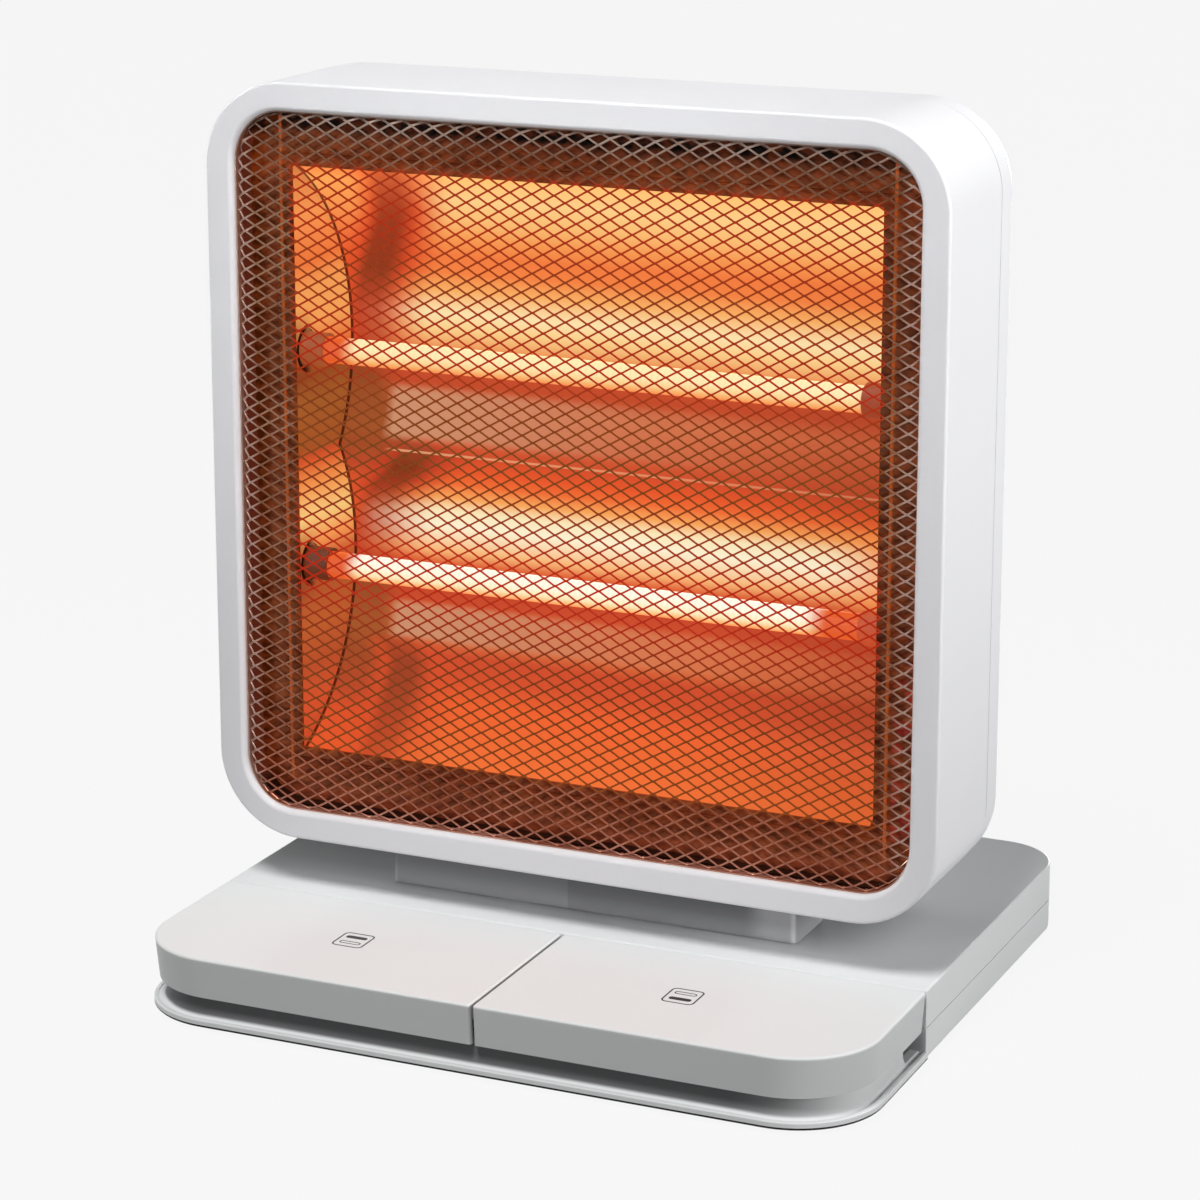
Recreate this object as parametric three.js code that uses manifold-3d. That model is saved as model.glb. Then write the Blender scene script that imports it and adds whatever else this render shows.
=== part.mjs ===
// A two-bar radiant heater: a deep square head with a mesh guard, on a base whose front is two foot pedals.
// Millimetres. +X is the viewer's right, +Y the rear and +Z up. The origin is the middle of the footprint, on
// the floor.
import * as THREE from 'three';
import { mergeVertices, toCreasedNormals } from 'three/addons/utils/BufferGeometryUtils.js';
import Module from 'manifold-3d';

const wasm = await Module();
wasm.setup();

// Fits and tools
const seatGap = 0.3; // between two pieces that seat on each other
const cutOverrun = 2; // how far a cut runs past the face that it starts from
const leastRadius = 0.05; // a corner that is left sharp
const cornerSteps = 6; // facets round a corner
const edgeSteps = 2; // facets round an edge
const roundSides = 12; // sides of a tube, cap, foot or plunger
const bossSides = 8; // sides of a boss or tower, inside
const screwSides = 8;
const louvreSides = 4;
const creaseAngle = Math.PI / 5;

// Head: front housing and rear cover
const headWidth = 320;
const headHeight = 320;
const headCorner = 36;
const headEdge = 3; // rounding of the front edge
const headWall = 2.5;
const coverDepth = 18; // side seam to back face
const backRoom = 4.4; // thermal cutout to the rear cover
const coverInset = 1; // step from the housing to the cover at the seam
const coverSeam = 0.5; // groove at the seam
const coverTaper = 5; // how far the back edge draws in
const coverEdge = 7; // depth over which it draws in
const spigotReach = 4; // locating rim of the cover, inside the housing
const spigotWall = 1.5;
const bezelBand = 12;
const bezelCorner = 22;
const bezelWall = 2; // turned-in wall round the opening
const bezelLip = 2.2; // rounding of the opening's edge

// Guard of expanded metal, a pan whose edges turn back
const guardSetback = 2.5;
const guardDepth = 11.7;
const guardSheet = 1;
const guardSideGap = 0.6;
const guardBend = 3;
const guardHem = 3;
const guardBorder = 5;
const meshWidth = 48; // long diagonal of one diamond
const meshHeight = 25; // short diagonal
const meshStrand = 2.4;

// Surround between the guard and the reflector
const windowSideBand = 20; // bezel's opening to the window
const windowTopBand = 24;
const surroundSheet = 1;
const surroundSideGap = 0.5;
const surroundFlange = 8;
const beadOffset = 6.5;
const beadWidth = 1.2;
const beadHeight = 1;

// Reflector, cheeks and tubes
const reflectorSheet = 1;
const reflectorFlange = 9;
const troughDepth = 47;
const troughSteps = 14;
const tubePitch = 92;
const tubeSetback = 10.2; // reflector lip to tube axis
const tubeRadius = 5.5;
const tubeWall = 1;
const coilRadius = 3.2;
const coilEndSpace = 10; // cap to the first turn
const coilPinRadius = 0.8;
const cheekSheet = 1;
const cheekHoleRoom = 1.25; // round the cap
const cheekMargin = 3;
const cheekFlange = 8;
const capWall = 1.5;
const capInside = 10; // cap length that shows inside the cheek
const capOutside = 14;
const capBoreDepth = 10.5;
const capGroove = 1;
const capTabRadius = 1.5;
const capTabLength = 5;
const clipRadius = 12;
const clipSheet = 3;
const clipMouth = 9;
const cutoutRadius = 8;
const cutoutDepth = 7;
const cutoutFlange = 3;
const cutoutFlangeSheet = 1.5;
const cutoutOffset = 60;

// Back of the head
const louvreLength = 66;
const louvreHeight = 4;
const louvrePitch = 10;
const louvreSpacing = 80;
const louvreColumns = 3;
const louvreRows = 4;
const louvreRise = 75; // middle of each louvre field above or below the head's middle
const gripWidth = 100;
const gripHeight = 26;
const gripDepth = 13;
const gripWall = 2;
const gripTopOffset = 19; // head's top to the grip's upper side

// Screws and their bosses
const screwRadius = 1.5;
const screwHeadRadius = 3.2;
const screwHeadHeight = 2.2;
const screwLength = 14;
const bossRadius = 4;
const towerRadius = 6;
const towerFloor = 4;
const counterboreRadius = 3.9;
const headBossInset = 22; // from the head's sides
const bossWeb = 2;

// Neck
const neckWidth = 184;
const neckDepth = 32;
const neckHeight = 23;
const neckSetback = 26; // head's front face to the neck's
const neckWall = 2.5;
const neckCorner = 3;
const passageWidth = 150;
const passageDepth = 18;
const bracketSheet = 2;
const bracketSideGap = 5;
const bracketRise = 14; // above its upper foot's seat
const bracketBossHeight = 6;
const bracketBossOffset = 55;
const bracketScrewLength = 7;

// Base
const baseWidth = 314;
const baseHeight = 29; // tray's underside to the pedals' top
const baseWall = 2.4;
const baseEdge = 1; // rounding of the top edges
const deckDepth = 184; // rear cover, from the seam with the pedals
const rearCorner = 27;
const trayFloor = 2.5;
const traySeamHeight = 13;
const trayFoot = 0.6; // rounding of the tray's lower edge
const rimLip = 1; // how far the rim stands out past the pedals
const rimWidth = 1.8;
const rimHeight = 3.3;
const rimRound = 0.7;
const ledgeHeight = 2.7;
const plinthInset = 4.4;
const plinthHeight = 17;
const plinthStop = 14.5; // end of the plinth wall, before the seam
const coveWidth = 2.2;
const coveHeight = 4.5;

// Pedals and their hinges
const pedalDepth = 87;
const pedalCorner = 35;
const pedalSkirt = 17;
const pedalInnerSkirt = 7; // side next to the other pedal
const pedalRearSkirt = 4;
const pedalGap = 1.2; // between the two pedals
const seamGap = 0.8; // between pedal and rear cover
const pedalSideCorner = 1.5;
const hingeSetback = 6;
const hingeRoom = 2.6; // hinge eye of the tray to the pedal's underside
const hingePinRadius = 2;
const hingeEyeRadius = 4;
const hingeEyeWidth = 4;
const hingeMargin = 8; // side of the pedal to the middle of its eye

// Under the pedals
const springRoom = 10; // spring to switch
const springRadius = 5.2;
const springWire = 0.7;
const springTurns = 4;
const springTurnSteps = 8;
const springSides = 5;
const springPegRadius = 3.2;
const springPegHeight = 4;
const switchInset = 29; // pedal's front to the middle of the switch
const switchWidth = 22;
const switchDepth = 16;
const switchHeight = 13;
const switchBoreDepth = 10;
const plungerRadius = 3;
const plungerReach = 6; // above the switch body
const plungerInside = 7;
const pressBossRadius = 4;

// Tip-over switch, terminals, cord bush and feet
const tipX = 70;
const tipSetback = 96; // from the seam
const tipWidth = 26;
const tipDepth = 18;
const tipRoom = 3.8; // above the tip-over switch
const tipStemRadius = 4;
const tipGuideRadius = 3;
const tipCollarRadius = 5.5;
const tipCollarHeight = 2;
const tipTravel = 5;
const tipPlay = 1;
const tipGuideLength = 6;
const terminalX = -60;
const terminalSetback = 110;
const terminalWidth = 40;
const terminalDepth = 20;
const terminalHeight = 14;
const terminalWays = 3;
const terminalWayRadius = 3.5;
const terminalWayDepth = 8;
const bushX = 100;
const bushRadius = 5;
const bushBore = 3.5;
const bushFlange = 2;
const bushOuterSheet = 1.2;
const bushInnerSheet = 2;
const footHeight = 2;
const footRadius = 8;
const footRecess = 1;
const footSideInset = 42;
const footFrontInset = 30;
const footRearInset = 20;
const baseScrewSideInset = 17;
const baseScrewFrontInset = 20; // from the seam
const baseScrewRearInset = 20;
const baseTowerHeight = 8;

// Places that follow from the sizes
const baseDepth = rimLip + pedalDepth + deckDepth;
const frontY = -baseDepth / 2 + rimLip;
const seamY = frontY + pedalDepth;
const rearY = seamY + deckDepth;
const windowWidth = headWidth - 2 * (bezelBand + windowSideBand);
const windowHeight = headHeight - 2 * (bezelBand + windowTopBand);
const headBottomZ = footHeight + baseHeight + neckHeight;
const headMiddleZ = headBottomZ + headHeight / 2;
const guardRear = guardSetback + guardDepth;
const surroundFront = guardRear + seatGap;
const surroundRear = surroundFront + surroundFlange;
const reflectorLip = surroundFront + surroundSheet + seatGap;
const troughHalf = windowHeight / 2 - tubePitch / 2; // tube axis to the reflector's upper or lower lip
const troughRadius = (troughHalf ** 2 + troughDepth ** 2) / (2 * troughDepth);
const troughMiddleY = reflectorLip + troughDepth - troughRadius;
const tubeY = reflectorLip + tubeSetback;
const capRadius = tubeRadius + capWall;
const cheekHoleRadius = capRadius + cheekHoleRoom;
const cutoutSeat = reflectorLip + troughDepth + reflectorSheet + seatGap;
const headDepth = cutoutSeat + cutoutDepth + backRoom + headWall;
const shellDepth = headDepth - coverDepth; // front face to side seam
const screwBore = screwRadius + seatGap;
const headBossX = headWidth / 2 - headBossInset;
const headBossZ = headHeight / 2 - headBossInset;
const pedalUnder = baseHeight - baseWall; // underside of the pedal's top plate
const hingeY = seamY - hingeSetback;
const hingeHeight = pedalUnder - hingeRoom - hingeEyeRadius;
const switchSetback = pedalDepth - switchInset; // from the seam
const springSetback = switchSetback - switchDepth / 2 - springRoom - springRadius;
const pedalMiddleX = baseWidth / 4 + pedalGap / 4;
const switchTop = trayFloor + seatGap + switchHeight;
const tipHeight = pedalUnder - trayFloor - seatGap - tipRoom;
const neckMiddleY = neckSetback + neckDepth / 2;
const bracketFront = surroundRear + seatGap;

// Materials
function finish(color, roughness, metalness) {
  return new THREE.MeshStandardMaterial({ color, roughness, metalness });
}
const glossWhite = finish(0xf2f3f5, 0.25, 0);
const satinWhite = finish(0xe4e4e2, 0.4, 0);
const copperMesh = finish(0x9a7468, 0.4, 0.8);
const polishedSheet = finish(0xd8b48c, 0.12, 1);
const brownSheet = finish(0x6a3c24, 0.3, 0.9);
const quartz = finish(0xffe2a8, 0.3, 0);
const hotWire = finish(0xffb060, 0.5, 0.3);
const ceramic = finish(0xc9b8a4, 0.6, 0);
const zincSteel = finish(0xb4b8bb, 0.35, 1);
const darkPlastic = finish(0x2c2d2f, 0.6, 0);
const softRubber = finish(0x1d1d1e, 0.85, 0);
quartz.emissive = new THREE.Color(0xff8a2a);

// Solids from geometries, and back
function solid(geometry) {
  const bare = geometry.clone();
  bare.deleteAttribute('normal');
  bare.deleteAttribute('uv');
  const merged = mergeVertices(bare);
  const index = merged.index.array;
  const triangles = [];
  for (let i = 0; i < index.length; i += 3) {
    const [a, b, c] = [index[i], index[i + 1], index[i + 2]];
    if (a !== b && b !== c && c !== a) triangles.push(a, b, c);
  }
  return new wasm.Manifold(new wasm.Mesh({
    numProp: 3,
    vertProperties: Float32Array.from(merged.attributes.position.array),
    triVerts: Uint32Array.from(triangles),
  }));
}

function joined(...solids) {
  return solids.reduce((whole, next) => whole.add(next));
}

function cut(body, ...tools) {
  return tools.reduce((whole, next) => whole.subtract(next), body);
}

function piece(parent, name, body, material) {
  const mesh = body.getMesh();
  const geometry = new THREE.BufferGeometry();
  geometry.setAttribute('position', new THREE.BufferAttribute(mesh.vertProperties, 3));
  geometry.setIndex(new THREE.BufferAttribute(mesh.triVerts, 1));
  const node = new THREE.Mesh(toCreasedNormals(geometry, creaseAngle), material);
  node.name = name;
  parent.add(node);
  return node;
}

// Rounded rectangles: corners in the order near left, near right, far right, far left
function rectangle(x0, x1, y0, y1, radii) {
  return { x0, x1, y0, y1, radii };
}

function outline(rect, inset) {
  const { x0, x1, y0, y1, radii } = rect;
  const corners = [[x0, y0, 1, 1], [x1, y0, -1, 1], [x1, y1, -1, -1], [x0, y1, 1, -1]];
  const points = [];
  corners.forEach(([x, y, sideX, sideY], k) => {
    const radius = Math.max(radii[k] - inset, leastRadius);
    const middleX = x + sideX * (inset + radius);
    const middleY = y + sideY * (inset + radius);
    for (let i = 0; i <= cornerSteps; i += 1) {
      const angle = Math.PI * (1 + k / 2) + (Math.PI / 2) * (i / cornerSteps);
      points.push([middleX + radius * Math.cos(angle), middleY + radius * Math.sin(angle)]);
    }
  });
  return points;
}

// A moulded form: the rectangle's outline carried along a profile of [inset, level] pairs. Lying forms have
// their levels along Z; upright ones have the outline in X and Z, and their levels along Y.
function moulded(rect, profile, upright = false) {
  const rings = profile.map(([inset, level]) => outline(rect, inset).map(([x, y]) => (
    upright ? [x, level, y] : [x, y, level]
  )));
  const count = rings[0].length;
  const index = [];
  const face = (a, b, c) => (upright ? index.push(a, c, b) : index.push(a, b, c));
  for (let r = 0; r + 1 < rings.length; r += 1) {
    for (let i = 0; i < count; i += 1) {
      const next = (i + 1) % count;
      const [a, b] = [r * count + i, r * count + next];
      face(a, b, b + count);
      face(a, b + count, a + count);
    }
  }
  const last = (rings.length - 1) * count;
  for (let i = 1; i + 1 < count; i += 1) {
    face(0, i + 1, i);
    face(last, last + i, last + i + 1);
  }
  const geometry = new THREE.BufferGeometry();
  geometry.setAttribute('position', new THREE.Float32BufferAttribute(rings.flat(2), 3));
  geometry.setIndex(index);
  return solid(geometry);
}

function quarterTurn(make) {
  return Array.from({ length: edgeSteps + 1 }, (_, i) => make((Math.PI / 2) * (i / edgeSteps)));
}

// The start of a profile: a round that leads from its first level to the inset that it keeps
function roundIn(inset, level, width, height) {
  return quarterTurn((angle) => [
    inset + width * (1 - Math.sin(angle)),
    level + height * (1 - Math.cos(angle)),
  ]);
}

// The end of a profile: a round that draws in by width over the last of its height
function roundOut(inset, level, width, height) {
  return quarterTurn((angle) => [
    inset + width * (1 - Math.cos(angle)),
    level + height * Math.sin(angle),
  ]);
}

function box(x0, x1, y0, y1, z0, z1) {
  const geometry = new THREE.BoxGeometry(x1 - x0, y1 - y0, z1 - z0);
  geometry.translate((x0 + x1) / 2, (y0 + y1) / 2, (z0 + z1) / 2);
  return solid(geometry);
}

// A round bar from one place to another along X, Y or Z
function bar(radius, from, to, sides = roundSides) {
  const [a, b] = [new THREE.Vector3(...from), new THREE.Vector3(...to)];
  const along = b.clone().sub(a);
  const geometry = new THREE.CylinderGeometry(radius, radius, along.length(), sides);
  const turn = new THREE.Quaternion().setFromUnitVectors(new THREE.Vector3(0, 1, 0), along.normalize());
  geometry.applyQuaternion(turn);
  geometry.translate(...a.add(b).multiplyScalar(1 / 2).toArray());
  return solid(geometry);
}

// A turned piece: [radius, level] pairs about the axis, which points along +Z until it is turned
function turned(profile, sides = roundSides) {
  const geometry = new THREE.LatheGeometry(profile.map(([r, y]) => new THREE.Vector2(r, y)), sides);
  geometry.rotateX(Math.PI / 2);
  return solid(geometry);
}

// A flat sheet or section drawn as points, and pulled along X
function pulledAlongX(points, x0, x1) {
  const shape = new THREE.Shape(points.map(([y, z]) => new THREE.Vector2(y, z)));
  const geometry = new THREE.ExtrudeGeometry(shape, { depth: x1 - x0, bevelEnabled: false });
  geometry.rotateX(Math.PI / 2);
  geometry.rotateZ(Math.PI / 2);
  geometry.translate(x0, 0, 0);
  return solid(geometry);
}

// Screw: head up, its seat at level zero
function screw(length) {
  return turned([
    [0, -length],
    [screwRadius, -length + screwRadius],
    [screwRadius, 0],
    [screwHeadRadius, 0],
    [screwHeadRadius, screwHeadHeight],
    [0, screwHeadHeight],
  ], screwSides);
}

const headRect = rectangle(
  -headWidth / 2,
  headWidth / 2,
  -headHeight / 2,
  headHeight / 2,
  Array(4).fill(headCorner),
);
const bezelRect = rectangle(
  -headWidth / 2 + bezelBand,
  headWidth / 2 - bezelBand,
  -headHeight / 2 + bezelBand,
  headHeight / 2 - bezelBand,
  Array(4).fill(bezelCorner),
);

// Head pieces are built about the middle of the front face: X across, Y back, Z up.
function headCorners(make) {
  return [-1, 1].flatMap((sx) => [-1, 1].map((sz) => make(sx, sz)));
}

function headBoss(sx, sz) {
  const [x, z] = [sx * headBossX, sz * headBossZ];
  const from = surroundRear + seatGap;
  const post = bar(bossRadius, [x, from, z], [x, shellDepth - seatGap, z], bossSides);
  const webEnd = shellDepth - spigotReach - seatGap;
  const web = box(0, headBossInset * Math.SQRT2, from, webEnd, -bossWeb / 2, bossWeb / 2);
  const outward = THREE.MathUtils.radToDeg(-Math.atan2(sz, sx));
  return joined(post, web.rotate([0, outward, 0]).translate([x, 0, z]));
}

function frontHousing() {
  const outside = moulded(headRect, [...roundIn(0, 0, headEdge, headEdge), [0, shellDepth]], true);
  const inside = moulded(headRect, [[headWall, headWall], [headWall, shellDepth + cutOverrun]], true);
  const bosses = headCorners(headBoss).map((boss) => boss.intersect(moulded(headRect, [
    [headWall / 2, 0],
    [headWall / 2, shellDepth],
  ], true)));
  const wallEnd = guardRear - guardSheet - seatGap;
  const bezelTube = moulded(bezelRect, [[-bezelWall, headWall / 2], [-bezelWall, wallEnd]], true);
  const opening = moulded(bezelRect, [
    [-bezelLip, -cutOverrun],
    ...roundIn(0, 0, -bezelLip, bezelLip),
    [0, wallEnd + cutOverrun],
  ], true);
  const passage = box(
    -passageWidth / 2,
    passageWidth / 2,
    neckMiddleY - passageDepth / 2,
    neckMiddleY + passageDepth / 2,
    -headHeight / 2 - cutOverrun,
    -headHeight / 2 + headWall + cutOverrun,
  );
  const floor = -headHeight / 2 + headWall;
  const shell = joined(cut(outside, inside), bezelTube, ...bosses, ...bracketBosses(floor, 0));
  const pilots = headCorners((sx, sz) => bar(
    screwBore,
    [sx * headBossX, shellDepth - screwLength, sz * headBossZ],
    [sx * headBossX, shellDepth + cutOverrun, sz * headBossZ],
    screwSides,
  ));
  const bracketPilots = bracketScrewPlaces(floor, 0).map(([x, y, z]) => bar(
    screwBore,
    [x, y, z - bracketBossHeight],
    [x, y, z + cutOverrun],
    screwSides,
  ));
  return cut(shell, opening, passage, ...pilots, ...bracketPilots);
}

// The bracket's screws: x, y and the boss's top, for a floor at the given level
function bracketScrewPlaces(floor, y0) {
  const y = y0 + bracketFront + bossRadius + bracketSheet;
  return [-1, 1].map((side) => [side * bracketBossOffset, y, floor + bracketBossHeight]);
}

function bracketBosses(floor, y0) {
  return bracketScrewPlaces(floor, y0).map(([x, y, z]) => bar(
    bossRadius,
    [x, y, z - bracketBossHeight - trayFloor / 2],
    [x, y, z],
    bossSides,
  ));
}

function louvre(x, z) {
  const reach = (louvreLength - louvreHeight) / 2;
  const [from, to] = [headDepth - headWall - cutOverrun, headDepth + cutOverrun];
  const ends = [-1, 1].map((side) => bar(
    louvreHeight / 2,
    [x + side * reach, from, z],
    [x + side * reach, to, z],
    louvreSides,
  ));
  return joined(box(x - reach, x + reach, from, to, z - louvreHeight / 2, z + louvreHeight / 2), ...ends);
}

function louvres() {
  const slots = [];
  for (let column = 0; column < louvreColumns; column += 1) {
    const x = (column - (louvreColumns - 1) / 2) * louvreSpacing;
    for (let row = 0; row < louvreRows; row += 1) {
      const rise = (row - (louvreRows - 1) / 2) * louvrePitch;
      slots.push(louvre(x, louvreRise + rise), louvre(x, -louvreRise + rise));
    }
  }
  return slots;
}

function rearCover() {
  const front = shellDepth + coverSeam;
  const outside = moulded(headRect, [
    [coverInset, front],
    ...roundOut(coverInset, headDepth - coverEdge, coverTaper, coverEdge),
  ], true);
  const inside = moulded(headRect, [
    [coverInset + headWall, front - cutOverrun],
    ...roundOut(coverInset + headWall, headDepth - headWall - coverEdge, coverTaper, coverEdge),
  ], true);
  const spigotOut = headWall + seatGap;
  const spigot = cut(
    moulded(headRect, [[spigotOut, shellDepth - spigotReach], [spigotOut, front + headWall]], true),
    moulded(headRect, [
      [spigotOut + spigotWall, shellDepth - spigotReach - cutOverrun],
      [spigotOut + spigotWall, front + headWall + cutOverrun],
    ], true),
  );
  const gripTop = headHeight / 2 - gripTopOffset;
  const gripRect = (grow) => rectangle(
    -gripWidth / 2 - grow,
    gripWidth / 2 + grow,
    gripTop - gripHeight - grow,
    gripTop + grow,
    Array(4).fill(gripHeight / 4 + grow),
  );
  const grip = moulded(gripRect(gripWall), [
    [0, headDepth - gripDepth - gripWall],
    [0, headDepth - headWall / 2],
  ], true);
  const gripHollow = moulded(gripRect(0), [[0, headDepth - gripDepth], [0, headDepth + cutOverrun]], true);
  const towers = headCorners((sx, sz) => bar(
    towerRadius,
    [sx * headBossX, shellDepth, sz * headBossZ],
    [sx * headBossX, headDepth - headWall / 2, sz * headBossZ],
    bossSides,
  ));
  const bores = headCorners((sx, sz) => joined(
    bar(
      screwBore,
      [sx * headBossX, shellDepth - cutOverrun, sz * headBossZ],
      [sx * headBossX, headDepth, sz * headBossZ],
      screwSides,
    ),
    bar(
      counterboreRadius,
      [sx * headBossX, shellDepth + towerFloor, sz * headBossZ],
      [sx * headBossX, headDepth + cutOverrun, sz * headBossZ],
      bossSides,
    ),
  ));
  return cut(joined(cut(outside, inside), spigot, grip, ...towers), gripHollow, ...bores, ...louvres());
}

// Diamonds on a staggered grid, each a hole through the guard's front
function diamonds(halfWidth, halfHeight) {
  const [a, b] = [meshWidth / 2, meshHeight / 2];
  const edge = (a * b) / Math.hypot(a, b);
  const openShare = (edge - meshStrand / 2) / edge;
  const [holeA, holeB] = [a * openShare, b * openShare];
  const holes = [];
  const columns = Math.floor(halfWidth / a);
  const rows = Math.floor(halfHeight / b);
  for (let i = -columns; i <= columns; i += 1) {
    for (let j = -rows; j <= rows; j += 1) {
      if ((i + j) % 2 !== 0) continue;
      const shape = new THREE.Shape([[holeA, 0], [0, holeB], [-holeA, 0], [0, -holeB]].map(([x, z]) => (
        new THREE.Vector2(i * a + x, j * b + z)
      )));
      holes.push(shape);
    }
  }
  const depth = guardSheet + 2 * cutOverrun;
  const geometry = new THREE.ExtrudeGeometry(holes, { depth, bevelEnabled: false });
  geometry.rotateX(Math.PI / 2);
  geometry.translate(0, guardSetback + guardSheet + cutOverrun, 0);
  return solid(geometry);
}

function guardMesh() {
  const rect = bezelRect;
  const side = guardSideGap;
  const innerBend = guardBend - guardSheet;
  const outside = moulded(rect, [
    ...roundIn(side, guardSetback, guardBend, guardBend),
    [side, guardRear - guardSheet],
    [side - guardHem, guardRear - guardSheet],
    [side - guardHem, guardRear],
  ], true);
  const inside = moulded(rect, [
    ...roundIn(side + guardSheet, guardSetback + guardSheet, innerBend, innerBend),
    [side + guardSheet, guardRear + cutOverrun],
  ], true);
  const border = side + guardSheet + guardBorder;
  const [halfWidth, halfHeight] = [rect.x1 - border, rect.y1 - border];
  const field = moulded(rect, [[border, 0], [border, guardSetback + guardSheet + cutOverrun]], true);
  return cut(outside, inside, diamonds(halfWidth, halfHeight).intersect(field));
}

function reflectorSurround() {
  const side = headWall + surroundSideGap;
  const outside = moulded(headRect, [[side, surroundFront], [side, surroundRear]], true);
  const inside = moulded(headRect, [
    [side + surroundSheet, surroundFront + surroundSheet],
    [side + surroundSheet, surroundRear + cutOverrun],
  ], true);
  const frame = (grow, from, to) => box(
    -windowWidth / 2 - grow,
    windowWidth / 2 + grow,
    from,
    to,
    -windowHeight / 2 - grow,
    windowHeight / 2 + grow,
  );
  const bead = cut(
    frame(beadOffset + beadWidth, surroundFront - beadHeight, surroundFront + surroundSheet / 2),
    frame(beadOffset, surroundFront - beadHeight - cutOverrun, surroundFront + surroundSheet),
  );
  const window = frame(0, surroundFront - cutOverrun, surroundFront + surroundSheet + cutOverrun);
  return cut(joined(cut(outside, inside), bead), window);
}

// The double trough's section, from its lower lip to its upper one, grown outward by the sheet
function troughCurve(grow) {
  const radius = troughRadius + grow;
  const lipAngle = Math.asin(Math.min(1, troughHalf / radius));
  const ridgeAngle = Math.asin(Math.min(1, tubePitch / 2 / radius));
  const upper = [];
  for (let i = 0; i <= troughSteps; i += 1) {
    const angle = -ridgeAngle + (ridgeAngle + lipAngle) * (i / troughSteps);
    upper.push([troughMiddleY + radius * Math.cos(angle), tubePitch / 2 + radius * Math.sin(angle)]);
  }
  const lower = upper.slice(1).reverse().map(([y, z]) => [y, -z]);
  return [...lower, ...upper];
}

function reflector() {
  const half = windowWidth / 2 - seatGap;
  const lip = windowHeight / 2;
  const flange = lip + reflectorFlange;
  const back = reflectorLip + reflectorSheet;
  const inner = troughCurve(0);
  const outer = troughCurve(reflectorSheet).filter(([y]) => y > back);
  return pulledAlongX([
    [back, -flange],
    ...[[back, outer[0][1]]],
    ...outer,
    [back, outer[outer.length - 1][1]],
    [back, flange],
    [reflectorLip, flange],
    ...inner.reverse(),
    [reflectorLip, -flange],
  ], -half, half);
}

function cheek(side) {
  const inner = windowWidth / 2;
  const half = windowHeight / 2 + reflectorFlange;
  const rear = reflectorLip + troughDepth + reflectorSheet + cheekMargin;
  const [x0, x1] = [inner, inner + cheekSheet];
  const plate = joined(
    box(x0, x1, reflectorLip, rear, -half, half),
    box(x0, x1 + cheekFlange, reflectorLip, reflectorLip + reflectorSheet, -half, half),
  );
  const holes = [-1, 1].map((level) => bar(
    cheekHoleRadius,
    [x0 - cutOverrun, tubeY, (level * tubePitch) / 2],
    [x1 + cutOverrun, tubeY, (level * tubePitch) / 2],
  ));
  return mirrored(cut(plate, ...holes), side);
}

function mirrored(body, side) {
  return side < 0 ? body.mirror([1, 0, 0]) : body;
}

// Pieces on a tube's axis: turned about Z, laid along X, and put at the tube's place
function onTubeAxis(body, side, level) {
  return mirrored(body.rotate([0, 90, 0]), side).translate([0, tubeY, (level * tubePitch) / 2]);
}

const capStart = windowWidth / 2 - capInside;
const capEnd = windowWidth / 2 + capOutside;
const tubeHalf = capStart + capBoreDepth - seatGap;

function quartzTube() {
  const bore = tubeRadius - tubeWall;
  return turned([
    [bore, -tubeHalf],
    [tubeRadius, -tubeHalf],
    [tubeRadius, tubeHalf],
    [bore, tubeHalf],
    [bore, -tubeHalf],
  ]);
}

function heatingCoil() {
  const half = capStart - coilEndSpace;
  return turned([
    [0, -tubeHalf],
    [coilPinRadius, -tubeHalf],
    [coilPinRadius, -half],
    [coilRadius, -half],
    [coilRadius, half],
    [coilPinRadius, half],
    [coilPinRadius, tubeHalf],
    [0, tubeHalf],
  ], screwSides);
}

function tubeCap() {
  const grooveStart = windowWidth / 2 + cheekSheet;
  const grooveEnd = grooveStart + clipSheet + 2 * seatGap;
  const bore = tubeRadius + seatGap;
  return turned([
    [0, capStart + capBoreDepth],
    [bore, capStart + capBoreDepth],
    [bore, capStart],
    [capRadius, capStart],
    [capRadius, grooveStart],
    [capRadius - capGroove, grooveStart],
    [capRadius - capGroove, grooveEnd],
    [capRadius, grooveEnd],
    [capRadius, capEnd],
    [capTabRadius, capEnd],
    [capTabRadius, capEnd + capTabLength],
    [0, capEnd + capTabLength],
  ]);
}

// A spring clip that snaps into the cap's groove, flat on the cheek's outer face
function tubeClip() {
  const start = windowWidth / 2 + cheekSheet + seatGap;
  const end = start + clipSheet;
  const front = reflectorSheet + seatGap - tubeSetback;
  return cut(
    bar(clipRadius, [0, 0, start], [0, 0, end]),
    bar(capRadius - capGroove + seatGap, [0, 0, start - cutOverrun], [0, 0, end + cutOverrun]),
    box(-clipMouth / 2, clipMouth / 2, 0, clipRadius + cutOverrun, start - cutOverrun, end + cutOverrun),
    box(-clipRadius, clipRadius, -clipRadius - cutOverrun, front, start - cutOverrun, end + cutOverrun),
  );
}

function thermalCutout() {
  return turned([
    [0, 0],
    [cutoutRadius + cutoutFlange, 0],
    [cutoutRadius + cutoutFlange, cutoutFlangeSheet],
    [cutoutRadius, cutoutFlangeSheet],
    [cutoutRadius, cutoutDepth],
    [0, cutoutDepth],
  ]).rotate([-90, 0, 0]).translate([cutoutOffset, cutoutSeat, tubePitch / 2]);
}

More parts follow.
